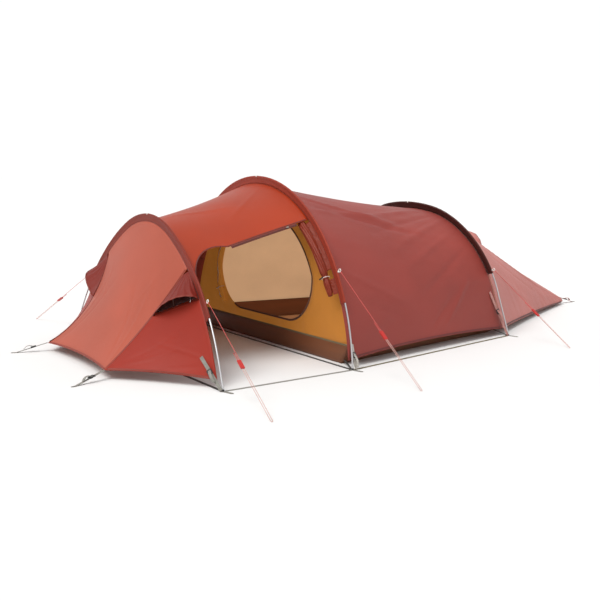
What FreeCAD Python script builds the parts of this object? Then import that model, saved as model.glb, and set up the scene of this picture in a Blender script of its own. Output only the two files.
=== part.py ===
import FreeCAD, Part
import math
import os
import Sketcher
from FreeCAD import Placement, Rotation, Vector

# Three-hoop tunnel tent, pitched. Millimetres, +Z up, +X towards the tail, -Y is the door side.
# The origin is the centre of the ground sheet's underside, on the ground.

doc = FreeCAD.newDocument("tunnel_tent")
sheet = doc.addObject("Spreadsheet::Sheet", "dims")

DRIVING = [
    # ground sheet and inner tent
    ("floor_length", 2290.0, "ground sheet, front edge to rear edge"),
    ("floor_gap", 45.0, "mid hoop plane to the ground sheet's front edge"),
    ("tub_height", 120.0, "height of the ground sheet's turned-up walls"),
    ("tub_thick", 2.4, "coated floor cloth, drawn thicker than real"),
    ("inner_inset", 84.0, "inner tent below the pole centre line"),
    ("tub_flare", 72.0, "side walls lean out by this much"),
    ("rear_wall_height", 240.0, "inner tent's rear end wall"),
    ("rear_wall_half", 250.0, "half width of the inner tent's rear end"),
    # hoops: x of the feet comes from the spans, sizes are in each hoop's own plane
    ("front_span", 844.0, "front hoop feet to mid hoop feet"),
    ("rear_span", 1501.0, "mid hoop feet to rear hoop feet"),
    ("front_width", 2092.0, "front hoop, foot to foot"),
    ("front_height", 852.0, "front hoop, foot to crown"),
    ("front_tilt", 5.7, "front hoop leans back, degrees"),
    ("front_leg_lean", 26.9, "front hoop leg from the plane's upright, degrees"),
    ("front_leg", 138.0, "front hoop straight leg"),
    ("front_shoulder", 38.3, "front hoop turn of the shoulder arc, degrees"),
    ("mid_width", 2039.0, "mid hoop, foot to foot"),
    ("mid_height", 1063.0, "mid hoop, foot to crown"),
    ("mid_tilt", 0.0, "mid hoop stands upright, degrees"),
    ("mid_leg_lean", 6.0, "mid hoop leg, degrees"),
    ("mid_leg", 79.0, "mid hoop straight leg"),
    ("mid_shoulder", 32.7, "mid hoop turn of the shoulder arc, degrees"),
    ("rear_width", 1547.0, "rear hoop, foot to foot"),
    ("rear_height", 905.0, "rear hoop, foot to crown"),
    ("rear_tilt", -15.5, "rear hoop leans forward, degrees"),
    ("rear_leg_lean", 5.8, "rear hoop leg, degrees"),
    ("rear_leg", 340.0, "rear hoop straight leg"),
    ("rear_shoulder", 74.0, "rear hoop turn of the shoulder arc, degrees"),
    # poles
    ("pole_radius", 4.75, "aluminium pole, outside"),
    ("pole_wall", 0.8, "pole wall"),
    ("pole_sections", 7.0, "sections in each pole"),
    ("insert_length", 90.0, "ferrule insert across a joint"),
    ("insert_wall", 0.7, "ferrule wall"),
    ("fit_gap", 0.05, "running clearance of inserts and tips in the tube"),
    ("shock_radius", 1.25, "shock cord in the pole"),
    ("tip_radius", 5.6, "pole tip's ball"),
    ("tip_plug", 26.0, "tip's plug in the tube"),
    ("eyelet_wall", 2.5, "foot eyelet's rim"),
    ("eyelet_height", 3.0, "foot eyelet's height"),
    ("eyelet_bore", 4.2, "peg hole radius in the foot eyelet"),
    # sleeves and fly cloth
    ("sleeve_bore_gap", 0.6, "room round the pole in its sleeve"),
    ("sleeve_wall", 1.4, "sleeve cloth"),
    ("sleeve_depth", 40.0, "pole centre line to the fly's seam"),
    ("fin_half", 1.5, "half thickness of the sleeve's flat part"),
    ("cloth", 2.0, "fly and inner cloth, drawn thicker than real"),
    ("seam_gap", 0.3, "clearance between pieces of cloth"),
    ("apex_tab_width", 12.0, "white tab at each crown"),
    ("near_clear_front", 345.0, "height where the front sleeve stops, door side"),
    ("near_clear_mid", 372.0, "height where the mid sleeve stops"),
    ("near_clear_rear", 425.0, "height where the rear sleeve stops"),
    ("hem_height", 45.0, "fly hem above the ground at the hoops"),
    ("hem_rise", 25.0, "further rise of the body's hem between hoops"),
    ("body_sag", 26.0, "inward hollow of the body between hoops"),
    ("porch_sag", 20.0, "inward hollow of the porch roof"),
    # tail
    ("tail_length", 1400.0, "rear hoop feet to the tail's end"),
    ("tail_end_half", 42.0, "half width of the tail's end"),
    ("tail_end_height", 34.0, "rise of the tail's end"),
    ("tail_sag", 22.0, "hollow of the tail"),
    # front end
    ("nose_length", 400.0, "front hoop feet to the front corners"),
    ("nose_half", 456.0, "half width between the front corners"),
    ("nose_height", 52.0, "front corners above the ground"),
    ("nose_sag", 60.0, "hollow of the front panel"),
    ("seam_share", 0.275, "where the front seams start, share of the hoop's run"),
    ("seam_sag", 55.0, "hollow of the front seams"),
    ("seam_inward", 75.0, "inward bow of the front seams"),
    ("vent_share", 0.42, "where the vent's brim leaves the front seam"),
    ("vent_reach", 95.0, "how far the vent hood stands out"),
    # doorways
    ("door_top_rear", 822.0, "porch doorway's top edge at the mid hoop"),
    ("door_top_front", 680.0, "porch doorway's top edge where it turns down"),
    ("door_turn", 510.0, "mid hoop to where the top edge turns down"),
    ("door_side_height", 490.0, "where the front edge straightens"),
    ("door_side_gap", 66.0, "front hoop's feet to the front edge there"),
    ("inner_door_half", 550.0, "inner doorway, half width"),
    ("inner_door_top", 852.0, "inner doorway's top"),
    ("inner_door_wide", 480.0, "height where the inner doorway is widest"),
    ("inner_door_sill", 180.0, "inner doorway's lowest point"),
    ("zip_width", 12.0, "zip tape and teeth"),
    ("zip_thick", 1.6, "zip tape and teeth"),
    ("slider_length", 16.0, "zip slider"),
    ("roll_radius", 24.0, "rolled porch door"),
    ("roll_low", 400.0, "rolled porch door's lower end above the ground"),
    ("roll_high", 800.0, "rolled porch door's upper end"),
    ("inner_roll_radius", 19.0, "rolled inner door"),
    ("toggle_length", 34.0, "toggle bar"),
    ("toggle_radius", 3.5, "toggle bar"),
    ("loop_wire", 2.0, "radius of the toggle's loop"),
    ("toggle_height", 500.0, "porch door's toggle above the ground"),
    ("inner_toggle_height", 300.0, "inner door's toggle above the ground"),
    ("hanger_radius", 3.0, "inner tent's hangers"),
    # vents
    ("vent_brim_height", 432.0, "where the front vent's brim meets the hoop"),
    ("strut_radius", 2.2, "vent strut"),
    ("rear_vent_near", 0.05, "rear vent starts at this share of the tail"),
    ("rear_vent_end", 0.34, "rear vent's brim, share of the tail"),
    ("rear_vent_half", 0.10, "rear vent's half width, share of the arch"),
    # webbing and hardware
    ("web_width", 20.0, "webbing"),
    ("web_thick", 1.5, "webbing"),
    ("guy_radius", 1.4, "guy line"),
    ("guy_out_front", 606.0, "front hoop's foot to its guy line's peg place, sideways"),
    ("guy_out_mid", 577.0, "mid hoop's foot to its peg place"),
    ("guy_out_rear", 510.0, "rear hoop's foot to its peg place"),
    ("guy_ahead_front", -84.0, "peg place behind the foot, towards the tail"),
    ("guy_ahead_mid", 6.0, "peg place behind the foot"),
    ("guy_ahead_rear", 10.0, "peg place behind the foot"),
    ("ring_height_front", 413.0, "guy ring above the ground"),
    ("ring_height_mid", 537.0, "guy ring above the ground"),
    ("ring_height_rear", 445.0, "guy ring above the ground"),
    ("adjuster_share", 0.56, "adjuster's place along the line"),
    ("guy_drop", 4.5, "cord's turn above the ground"),
    ("guy_turn", 5.0, "radius of the guy line's turn round its peg"),
    ("guy_ring_radius", 9.0, "guy ring, middle of its wire"),
    ("guy_ring_wire", 2.0, "radius of the ring's wire"),
    ("guy_tail", 60.0, "free tail above the adjuster"),
    ("adjuster_length", 62.0, "guy line adjuster"),
    ("adjuster_width", 20.0, "guy line adjuster"),
    ("adjuster_thick", 8.0, "guy line adjuster"),
    ("adjuster_hole_gap", 0.5, "cord's running clearance in the adjuster"),
    ("peg_tab_length", 62.0, "webbing tab from the foot to its peg eyelet"),
    ("peg_splay", 15.0, "peg tabs turn this far towards the tail, clear of the guy lines, degrees"),
    ("pad_length", 34.0, "webbing pad under the pole's end"),
    ("nose_strap_out", 64.0, "front strap's end, outwards of the corner"),
    ("nose_strap_ahead", 200.0, "front strap's end, ahead of the corner"),
    ("tail_strap_length", 190.0, "tail strap's reach"),
    ("strap_height_front", 150.0, "foot strap's buckle above the ground"),
    ("strap_height_mid", 135.0, "foot strap's buckle above the ground"),
    ("strap_height_rear", 300.0, "foot strap's buckle above the ground"),
    ("strap_beside", 40.0, "foot strap's buckle beside the pole"),
    ("foot_buckle_share", 0.45, "foot strap's buckle, share of the way down"),
    ("end_buckle_share", 0.45, "end strap's buckle, share of the way down"),
    ("corner_strap_width", 12.0, "strap from the ground sheet's corner to the foot"),
    ("corner_strap_height", 24.0, "corner strap's height on the ground sheet"),
    ("buckle_length", 32.0, "ladder buckle"),
    ("buckle_width", 28.0, "ladder buckle"),
    ("buckle_thick", 6.0, "ladder buckle"),
    ("buckle_bar", 4.0, "ladder buckle's bars"),
]

for row, (alias, value, note) in enumerate(DRIVING, start=1):
    sheet.set("A%d" % row, alias)
    sheet.set("B%d" % row, str(value))
    sheet.setAlias("B%d" % row, alias)
    sheet.set("C%d" % row, note)
doc.recompute()


def dim(alias):
    return float(sheet.get(alias))


# ---------------------------------------------------------------- places along the tent
FLOOR_FRONT = -dim("floor_length") / 2
MID_X = FLOOR_FRONT - dim("floor_gap")
FRONT_X = MID_X - dim("front_span")
REAR_X = MID_X + dim("rear_span")
TAIL_X = REAR_X + dim("tail_length")
NOSE_X = FRONT_X - dim("nose_length")
FOOT_Z = dim("web_thick") + dim("tip_radius")
POLE_BORE = dim("pole_radius") - dim("pole_wall")
TIP_SEAT = math.sqrt(dim("tip_radius") ** 2 - POLE_BORE ** 2) + dim("fit_gap")
SIDES = {"near": 1, "far": -1}


class Hoop:
    """A basket-handle arch in a tilted plane: straight leg, shoulder arc, crown arc, mirrored."""

    def __init__(self, name, foot_x):
        self.name = name
        self.foot_x = foot_x
        tilt = math.radians(dim(name + "_tilt"))
        self.up = Vector(math.sin(tilt), 0, math.cos(tilt))
        self.normal = Vector(math.cos(tilt), 0, -math.sin(tilt))
        self.half = dim(name + "_width") / 2
        self.leg = dim(name + "_leg")
        self.lean = math.radians(dim(name + "_leg_lean"))
        self.turned = self.lean + math.radians(dim(name + "_shoulder"))
        # the two radii close the arch: a linear pair of equations in width and height
        a = math.cos(self.lean) - math.cos(self.turned)
        b = math.cos(self.turned)
        c = math.sin(self.turned) - math.sin(self.lean)
        e = 1 - math.sin(self.turned)
        across = self.half - self.leg * math.sin(self.lean)
        rise = dim(name + "_height") - self.leg * math.cos(self.lean)
        det = a * e - b * c
        self.shoulder_radius = (across * e - b * rise) / det
        self.crown_radius = (a * rise - across * c) / det
        if min(self.shoulder_radius, self.crown_radius) < 100:
            raise ValueError(name + " hoop's radii don't make an arch")
        shoulder = self.shoulder_radius * (self.turned - self.lean)
        crown = self.crown_radius * (math.pi - 2 * self.turned)
        self.total = 2 * (self.leg + shoulder) + crown
        self.breaks = [self.leg, self.leg + shoulder]
        self.breaks += [self.total - run for run in reversed(self.breaks)]

    def heading(self, run):
        """Angle of the curve from the plane's upright on the near half, at arc length run."""
        if run <= self.leg:
            return self.lean
        if run <= self.breaks[1]:
            return self.lean + (run - self.leg) / self.shoulder_radius
        return self.turned + (run - self.breaks[1]) / self.crown_radius

    def flat(self, run, inset=0.0):
        """In-plane across and up of the point at arc length run, moved inward by inset."""
        far = run > self.total / 2
        if far:
            run = self.total - run
        angle = self.heading(run)
        leg = min(run, self.leg)
        across = -self.half + leg * math.sin(self.lean)
        rise = leg * math.cos(self.lean)
        if run > self.leg:
            end = min(angle, self.turned)
            across += self.shoulder_radius * (math.cos(self.lean) - math.cos(end))
            rise += self.shoulder_radius * (math.sin(end) - math.sin(self.lean))
        if run > self.breaks[1]:
            across += self.crown_radius * (math.cos(self.turned) - math.cos(angle))
            rise += self.crown_radius * (math.sin(angle) - math.sin(self.turned))
        across += inset * math.cos(angle)
        rise -= inset * math.sin(angle)
        return (-across if far else across), rise

    def point(self, run, inset=0.0, beside=0.0):
        """Point in the tent's frame; beside moves it along the plane's normal, to the tail."""
        across, rise = self.flat(run, inset)
        return Vector(self.foot_x, across, 0) + self.up * rise + self.normal * beside

    def inward(self, run):
        """Unit vector from the curve to the inside of the arch."""
        return self.point(run, 1.0) - self.point(run)

    def run_at(self, height, inset=0.0):
        """Arc length on the near side where the curve reaches a height above ground."""
        low, high = 0.0, self.total / 2
        for _ in range(50):
            middle = (low + high) / 2
            if self.point(middle, inset).z < height:
                low = middle
            else:
                high = middle
        return low

    def path(self, start, end, inset=0.0):
        """Wire of straight runs and tangent arcs between two arc lengths."""
        stops = [start] + [run for run in self.breaks if start + 0.5 < run < end - 0.5] + [end]
        edges = []
        for first, last in zip(stops, stops[1:]):
            middle = (first + last) / 2
            ends = [self.point(run, inset) for run in (first, middle, last)]
            straight = last <= self.leg + 0.6 or first >= self.total - self.leg - 0.6
            if straight:
                edges.append(Part.LineSegment(ends[0], ends[2]).toShape())
            else:
                edges.append(Part.Arc(*ends).toShape())
        return Part.Wire(edges)


FRONT = Hoop("front", FRONT_X)
MID = Hoop("mid", MID_X)
REAR = Hoop("rear", REAR_X)
HOOPS = [FRONT, MID, REAR]


# ---------------------------------------------------------------- helpers
SUBPARTS = []


def subpart(item):
    """Keep an object as a sub-part: its Label names its file."""
    SUBPARTS.append(item)
    return item


def feature(name, shape):
    """Sub-part that only code can draw, as a Part::Feature."""
    item = doc.addObject("Part::Feature", name)
    item.Label = name
    item.Shape = shape
    return subpart(item)


def group(name, items):
    """Sub-part made of several separate solids."""
    item = doc.addObject("Part::Compound", name)
    item.Label = name
    item.Links = items
    return subpart(item)


def bound(kind, name, **sizes):
    """Part primitive whose sizes follow the sheet through expressions."""
    item = doc.addObject(kind, name)
    item.Label = name
    for size, formula in sizes.items():
        item.setExpression(size, formula)
    return item


def frame_at(origin, z_axis, x_hint):
    """Placement with local Z along z_axis and local X as near x_hint as it can be."""
    z_axis = Vector(z_axis).normalize()
    y_axis = z_axis.cross(Vector(x_hint)).normalize()
    x_axis = y_axis.cross(z_axis)
    return Placement(Vector(origin), Rotation(x_axis, y_axis, z_axis, "ZXY"))


def disc(centre, axis, radius):
    return Part.Wire(Part.Circle(centre, axis, radius).toShape())


def pipe(path, radius, bore=0.0):
    """Round bar or tube along a wire of tangent runs and arcs; its volume is compared."""
    first = path.OrderedEdges[0]
    start = first.firstVertex(True).Point
    ahead = first.tangentAt(first.FirstParameter)
    if (first.valueAt(first.FirstParameter) - start).Length > 1e-6:
        ahead = -first.tangentAt(first.LastParameter)
    rings = [disc(start, ahead, size) for size in (radius, bore) if size]
    solid = path.makePipe(Part.makeFace(rings, "Part::FaceMakerBullseye"))
    expected = math.pi * (radius ** 2 - bore ** 2) * path.Length
    if abs(solid.Volume - expected) > 0.01 * expected:
        raise ValueError("a swept tube has the wrong volume")
    return solid


def spline_edge(points):
    curve = Part.BSplineCurve()
    curve.interpolate(points)
    return curve


def cloth_solid(point, inward, u_stops, v_stops, thick=None):
    """Closed sheet: an interpolated outer surface, an inner one, and four edge faces."""
    thick = dim("cloth") if thick is None else thick
    outer = [[point(u, v) for v in v_stops] for u in u_stops]
    inner = [[point(u, v) + inward(u, v) * thick for v in v_stops] for u in u_stops]
    faces = []
    borders = []
    for grid in (outer, inner):
        surface = Part.BSplineSurface()
        surface.interpolate(grid)
        faces.append(surface.toShape())
        ends = surface.bounds()
        borders.append([surface.uIso(ends[0]), surface.uIso(ends[1]),
                        surface.vIso(ends[2]), surface.vIso(ends[3])])
    for one, other in zip(*borders):
        faces.append(Part.makeRuledSurface(one.toShape(), other.toShape()))
    shell = Part.makeShell(faces)
    shell.sewShape()
    solid = Part.makeSolid(shell)
    if solid.Volume < 0:
        solid.reverse()
    return solid


def stops(count):
    return [i / count for i in range(count + 1)]


def mix(one, other, share):
    return one * (1 - share) + other * share


def mirrored(shape):
    return shape.mirror(Vector(0, 0, 0), Vector(0, 1, 0))


def toe(hoop, side):
    """Point on the ground under a pole's end."""
    foot = hoop.point(hoop.run_at(FOOT_Z))
    return Vector(foot.x, foot.y * SIDES[side], 0)


# ---------------------------------------------------------------- poles
def pole_start(hoop):
    """Arc length where the tube's end sits on its tip's ball."""
    return hoop.run_at(FOOT_Z) + TIP_SEAT


def pole(hoop):
    start = pole_start(hoop)
    length = hoop.total - 2 * start
    count = int(dim("pole_sections"))
    tubes = []
    for i in range(count):
        path = hoop.path(start + length * i / count, start + length * (i + 1) / count)
        tubes.append(pipe(path, dim("pole_radius"), POLE_BORE))
    feature("pole_" + hoop.name, Part.Compound(tubes))


def insert_tubes(hoop):
    start = pole_start(hoop)
    length = hoop.total - 2 * start
    count = int(dim("pole_sections"))
    outside = POLE_BORE - dim("fit_gap")
    tubes = []
    for i in range(1, count):
        joint = start + length * i / count
        half = dim("insert_length") / 2
        path = hoop.path(joint - half, joint + half)
        tubes.append(pipe(path, outside, outside - dim("insert_wall")))
    return tubes


def shock_cord(hoop):
    start = hoop.run_at(FOOT_Z) + dim("tip_plug")
    return pipe(hoop.path(start, hoop.total - start), dim("shock_radius"))


for hoop in HOOPS:
    pole(hoop)
feature("pole_inserts", Part.Compound([tube for hoop in HOOPS for tube in insert_tubes(hoop)]))
feature("shock_cords", Part.Compound([shock_cord(hoop) for hoop in HOOPS]))


def pole_tip(hoop, side):
    """Ball on the ground pad and a plug up the tube."""
    name = "tip_%s_%s" % (hoop.name, side)
    ball = bound("Part::Sphere", name + "_ball", Radius="dims.tip_radius")
    plug = bound("Part::Cylinder", name + "_plug",
                 Radius="dims.pole_radius - dims.pole_wall - dims.fit_gap", Height="dims.tip_plug")
    tip = doc.addObject("Part::Fuse", name)
    tip.Base = ball
    tip.Tool = plug
    start = hoop.run_at(FOOT_Z)
    foot = hoop.point(start)
    along = hoop.point(start + 10) - foot
    along.y *= SIDES[side]
    foot.y *= SIDES[side]
    tip.Placement = frame_at(foot, along, Vector(1, 0, 0))
    return tip


group("pole_tips", [pole_tip(hoop, side) for hoop in HOOPS for side in SIDES])


# ---------------------------------------------------------------- sleeves
DEPTH = dim("sleeve_depth")
BESIDE = dim("fin_half") + dim("seam_gap")


def sleeve(hoop):
    """Cloth tunnel round the pole that narrows to a flat fin, sewn to the fly at its root."""
    bore = dim("pole_radius") + dim("sleeve_bore_gap")
    outside = bore + dim("sleeve_wall")
    start = hoop.run_at(dim("near_clear_" + hoop.name))
    path = hoop.path(start, hoop.total - start)
    centre = hoop.point(start)
    inward = hoop.inward(start)
    side = hoop.normal * outside
    fin = hoop.normal * dim("fin_half")
    shoulder = inward * (outside * 2)
    root = inward * (DEPTH + dim("cloth"))
    outline = [
        Part.Arc(centre + side, centre - inward * outside, centre - side).toShape(),
        Part.LineSegment(centre - side, centre + shoulder - fin).toShape(),
        Part.LineSegment(centre + shoulder - fin, centre + root - fin).toShape(),
        Part.LineSegment(centre + root - fin, centre + root + fin).toShape(),
        Part.LineSegment(centre + root + fin, centre + shoulder + fin).toShape(),
        Part.LineSegment(centre + shoulder + fin, centre + side).toShape(),
    ]
    sweep = Part.BRepOffsetAPI.MakePipeShell(path)
    sweep.setBiNormalMode(hoop.normal)
    sweep.add(Part.Wire(outline))
    sweep.build()
    sweep.makeSolid()
    feature("sleeve_" + hoop.name, sweep.shape().cut(pipe(path, bore)))


for hoop in HOOPS:
    sleeve(hoop)


def apex_tab(hoop):
    """Short webbing saddle that marks the sleeve's crown."""
    radius = dim("pole_radius") + dim("sleeve_bore_gap") + dim("sleeve_wall") + dim("seam_gap")
    crown = hoop.total / 2
    half = dim("apex_tab_width") / 2
    ring = pipe(hoop.path(crown - half, crown + half), radius + dim("web_thick"), radius)
    reach = 2 * radius
    below = Part.makeBox(2 * reach, 4 * half, reach, Vector(-reach, -2 * half, -reach))
    below.Placement = Placement(hoop.point(crown), Rotation(hoop.normal, Vector(0, 1, 0), hoop.up))
    return ring.cut(below)


feature("apex_tabs", Part.Compound([apex_tab(hoop) for hoop in HOOPS]))


# ---------------------------------------------------------------- fly cloth between hoops
def hem_runs(hoop):
    low = hoop.run_at(dim("hem_height"), DEPTH)
    return low, hoop.total - low


def span(one, other, sag, hem_rise=0.0):
    """Point and inward functions of the cloth between two hoops: u along, v round."""
    ones = hem_runs(one)
    others = hem_runs(other)

    def inward(u, v):
        ways = one.inward(mix(*ones, v)), other.inward(mix(*others, v))
        return mix(*ways, u).normalize()

    def point(u, v):
        start = one.point(mix(*ones, v), DEPTH, BESIDE)
        end = other.point(mix(*others, v), DEPTH, -BESIDE)
        hollow = 4 * u * (1 - u)
        place = mix(start, end, u) + inward(u, v) * sag * hollow * (0.4 + 0.6 * math.sin(math.pi * v))
        place.z += hem_rise * hollow * abs(2 * v - 1) ** 6
        return place

    return point, inward


porch_point, porch_inward = span(FRONT, MID, dim("porch_sag"))
body_point, body_inward = span(MID, REAR, dim("body_sag"), dim("hem_rise"))


def doorway_cutter():
    """Prism along Y with the porch doorway's outline: sloping top, round corner, front edge."""
    rear = MID_X + 60
    slope = (dim("door_top_rear") - dim("door_top_front")) / dim("door_turn")
    top_rear = Vector(rear, 0, dim("door_top_rear") + slope * (rear - MID_X))
    turn = Vector(MID_X - dim("door_turn"), 0, dim("door_top_front"))
    side = Vector(FRONT_X + dim("door_side_gap"), 0, dim("door_side_height"))
    corner = turn + (side - turn) * 0.5 + Vector(-0.26, 0, 0.30) * (turn - side).Length * 0.5
    low = Vector(FRONT_X + 34, 0, dim("near_clear_front"))
    base_front = Vector(FRONT_X - 60, 0, low.z)
    ground_front = Vector(FRONT_X - 60, 0, -60)
    ground_rear = Vector(rear, 0, -60)
    edges = [
        Part.LineSegment(top_rear, turn).toShape(),
        Part.Arc(turn, corner, side).toShape(),
        Part.LineSegment(side, low).toShape(),
        Part.LineSegment(low, base_front).toShape(),
        Part.LineSegment(base_front, ground_front).toShape(),
        Part.LineSegment(ground_front, ground_rear).toShape(),
        Part.LineSegment(ground_rear, top_rear).toShape(),
    ]
    return Part.Face(Part.Wire(edges)).extrude(Vector(0, -1500, 0))


porch = cloth_solid(porch_point, porch_inward, stops(6), stops(24))
feature("fly_porch", porch.cut(doorway_cutter()))
feature("fly_body", cloth_solid(body_point, body_inward, stops(6), stops(24)))


# ---------------------------------------------------------------- tail
def tail_point(u, v):
    low, high = hem_runs(REAR)
    start = REAR.point(mix(low, high, v), DEPTH, BESIDE)
    turn = math.pi * v
    end = Vector(TAIL_X, -dim("tail_end_half") * math.cos(turn),
                 dim("hem_height") / 2 + dim("tail_end_height") * math.sin(turn))
    place = mix(start, end, u)
    return place + tail_inward(u, v) * dim("tail_sag") * 4 * u * (1 - u)


def tail_inward(u, v):
    low, high = hem_runs(REAR)
    turn = math.pi * v
    end = Vector(0, math.cos(turn), -math.sin(turn))
    return mix(REAR.inward(mix(low, high, v)), end, u).normalize()


# ---------------------------------------------------------------- front end
SEAM_RUN = FRONT.total * dim("seam_share")
BRIM_RUN = FRONT.run_at(dim("vent_brim_height"), DEPTH)


def nose_point(u, v):
    """Front panel: u from the hoop to the front hem, v from the door side to the far side."""
    start = FRONT.point(mix(SEAM_RUN, FRONT.total - SEAM_RUN, v), DEPTH, -BESIDE)
    across = 2 * v - 1
    bow = 1 - across ** 2
    end = Vector(NOSE_X + 25 * bow, dim("nose_half") * across, dim("nose_height") + 12 * bow)
    hollow = 4 * u * (1 - u)
    sag = mix(dim("nose_sag"), dim("seam_sag"), across ** 2)
    place = mix(start, end, u) + Vector(0.6, 0, -0.8) * sag * hollow
    place.y -= dim("seam_inward") * across ** 3 * hollow
    return place


def nose_inward(u, v):
    start = FRONT.inward(mix(SEAM_RUN, FRONT.total - SEAM_RUN, v))
    across = 2 * v - 1
    end = Vector(0.62, -0.55 * across ** 3, -0.5)
    return mix(start, end, min(1.0, 1.6 * u)).normalize()


def panel_point(u, v):
    """Door-side panel: u from the seam to the hoop's leg, v from the vent down to the hem."""
    seam = nose_point(mix(dim("vent_share"), 1.0, v), 0.0)
    low = hem_runs(FRONT)[0]
    leg = FRONT.point(mix(BRIM_RUN, low, v), DEPTH, -BESIDE)
    place = mix(seam, leg, u)
    place = place + (leg - seam).normalize() * dim("seam_gap") * 2 * (1 - u)
    hollow = 4 * u * (1 - u)
    place.y += 16 * hollow
    place.z += 10 * hollow * v ** 3
    return place


def panel_inward(u, v):
    seam = nose_inward(mix(dim("vent_share"), 1.0, v), 0.0)
    low = hem_runs(FRONT)[0]
    leg = FRONT.inward(mix(BRIM_RUN, low, v))
    return mix(seam, mix(leg, Vector(0.45, 0.9, 0), 4 * u * (1 - u)), u).normalize()


nose = feature("fly_front_panel", cloth_solid(nose_point, nose_inward, stops(6), stops(16)))
side_panel = cloth_solid(panel_point, panel_inward, stops(6), stops(6))
feature("fly_side_panel_near", side_panel)
feature("fly_side_panel_far", mirrored(side_panel))


# ---------------------------------------------------------------- vents
def sheet_normal(point, u, v, towards):
    """Unit normal of a sheet at u, v on the side that towards points to."""
    step = 0.01
    along = point(min(u + step, 1), v) - point(max(u - step, 0), v)
    across = point(u, min(v + step, 1)) - point(u, max(v - step, 0))
    normal = along.cross(across).normalize()
    return normal if normal.dot(towards) > 0 else -normal


def vent_base(u, v, lift=0.0):
    """Flat of the front vent: u from the seam to the hoop, v from its tip to the brim."""
    seam = nose_point(mix(0.05, dim("vent_share"), v), 0.0)
    leg = FRONT.point(mix(SEAM_RUN, BRIM_RUN, mix(0.10, 1.0, v)), DEPTH, -BESIDE)
    across = (leg - seam).normalize()
    return mix(seam, leg, u) + across * dim("seam_gap") * 2 * (1 - u) - vent_inward(u, v) * lift


def vent_inward(u, v):
    seam = nose_inward(mix(0.05, dim("vent_share"), v), 0.0)
    leg = FRONT.inward(mix(SEAM_RUN, BRIM_RUN, mix(0.10, 1.0, v)))
    return mix(seam, leg, u).normalize()


VENT_OUT = Vector(-0.45, -0.62, 0.64)  # the way the hoods stand out: ahead, sideways and up


def hood_point(u, v):
    return vent_base(u, v) + VENT_OUT * dim("vent_reach") * v ** 1.3 * (4 * u * (1 - u)) ** 0.8


def mesh_point(u, v):
    return vent_base(mix(0.02, 0.98, u), mix(0.05, 0.93, v), -(dim("cloth") + 2 * dim("seam_gap")))


hood = cloth_solid(hood_point, vent_inward, stops(10), stops(5))
mesh = cloth_solid(mesh_point, vent_inward, stops(4), stops(4), 1.0)


# the rear vent stands on the tail's crown and opens towards the tail
def rear_base(u, v, lift=0.0):
    along = mix(dim("rear_vent_near"), dim("rear_vent_end"), v)
    half = dim("rear_vent_half") * (0.25 + 0.75 * v)
    return tail_point(along, 0.5 + half * (2 * u - 1)) - tail_lift(along) * lift


def tail_lift(along):
    return sheet_normal(tail_point, along, 0.5, Vector(0, 0, -1))


def rear_hood_point(u, v):
    rise = dim("vent_reach") * v ** 1.3 * (4 * u * (1 - u)) ** 0.8
    return rear_base(u, v, dim("cloth") + dim("seam_gap") + rise)


def rear_hood_inward(u, v):
    return tail_lift(mix(dim("rear_vent_near"), dim("rear_vent_end"), v))


def rear_mesh_point(u, v):
    return rear_base(mix(0.1, 0.9, u), mix(0.35, 0.92, v), -(dim("cloth") + 2 * dim("seam_gap")))


def rear_window():
    """Prism that opens the tail cloth under the rear hood."""
    corners = [rear_base(u, v) for u, v in ((0.2, 0.45), (0.8, 0.45), (0.8, 0.86), (0.2, 0.86))]
    flat = [Vector(p.x, p.y, 0) for p in corners]
    return Part.Face(Part.makePolygon(flat + flat[:1])).extrude(Vector(0, 0, 2000))


tail = cloth_solid(tail_point, tail_inward, stops(6), stops(24))
feature("fly_tail", tail.cut(rear_window()))
feature("vent_hood_near", hood)
feature("vent_hood_far", mirrored(hood))
feature("vent_hood_rear", cloth_solid(rear_hood_point, rear_hood_inward, stops(10), stops(5)))
rear_mesh = cloth_solid(rear_mesh_point, rear_hood_inward, stops(4), stops(4), 1.0)
feature("vent_meshes", Part.Compound([mesh, mirrored(mesh), rear_mesh]))


def rod(name, start, end, radius_formula, length_share=1.0):
    """Round bar from start towards end, with its radius bound to the sheet."""
    along = end - start
    bar = bound("Part::Cylinder", name, Radius=radius_formula)
    bar.Height = along.Length * length_share
    bar.Placement = frame_at(start, along, Vector(0, 0, 1) if abs(along.x) > 1 else Vector(1, 0, 0))
    return subpart(bar)


def strut(name, base, brim, side=1):
    """Stiff prop from the vent's lower edge to its brim, short of the cloth at both ends."""
    base = Vector(base.x, base.y * side, base.z)
    brim = Vector(brim.x, brim.y * side, brim.z)
    along = (brim - base).normalize()
    clear = dim("seam_gap") + 0.5
    top_clear = dim("cloth") + dim("strut_radius") + clear
    rod(name, base + along * clear, brim - along * top_clear, "dims.strut_radius")


STRUT_BASE = panel_point(0.5, 0.0) + VENT_OUT * 3
STRUT_BRIM = hood_point(0.5, 1.0)
strut("vent_strut_near", STRUT_BASE, STRUT_BRIM)
strut("vent_strut_far", STRUT_BASE, STRUT_BRIM, -1)
strut("vent_strut_rear", rear_base(0.5, 1.0), rear_hood_point(0.5, 0.97))


# ---------------------------------------------------------------- inner tent
INSET = dim("inner_inset")
FLOOR_REAR = -FLOOR_FRONT
WALL_LOW = dim("tub_height") + dim("seam_gap")


def inner_arch(hoop, v, shift=0.0):
    low = hoop.run_at(WALL_LOW, INSET)
    return hoop.point(mix(low, hoop.total - low, v), INSET) + Vector(shift, 0, 0)


def low_arch(v):
    """The inner tent's rear edge, a low arch over the foot end."""
    turn = math.pi * v
    return Vector(FLOOR_REAR, -dim("rear_wall_half") * math.cos(turn),
                  WALL_LOW + (dim("rear_wall_height") - WALL_LOW) * math.sin(turn))


def arch_inward(hoop, v):
    low = hoop.run_at(WALL_LOW, INSET)
    return hoop.inward(mix(low, hoop.total - low, v))


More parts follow.
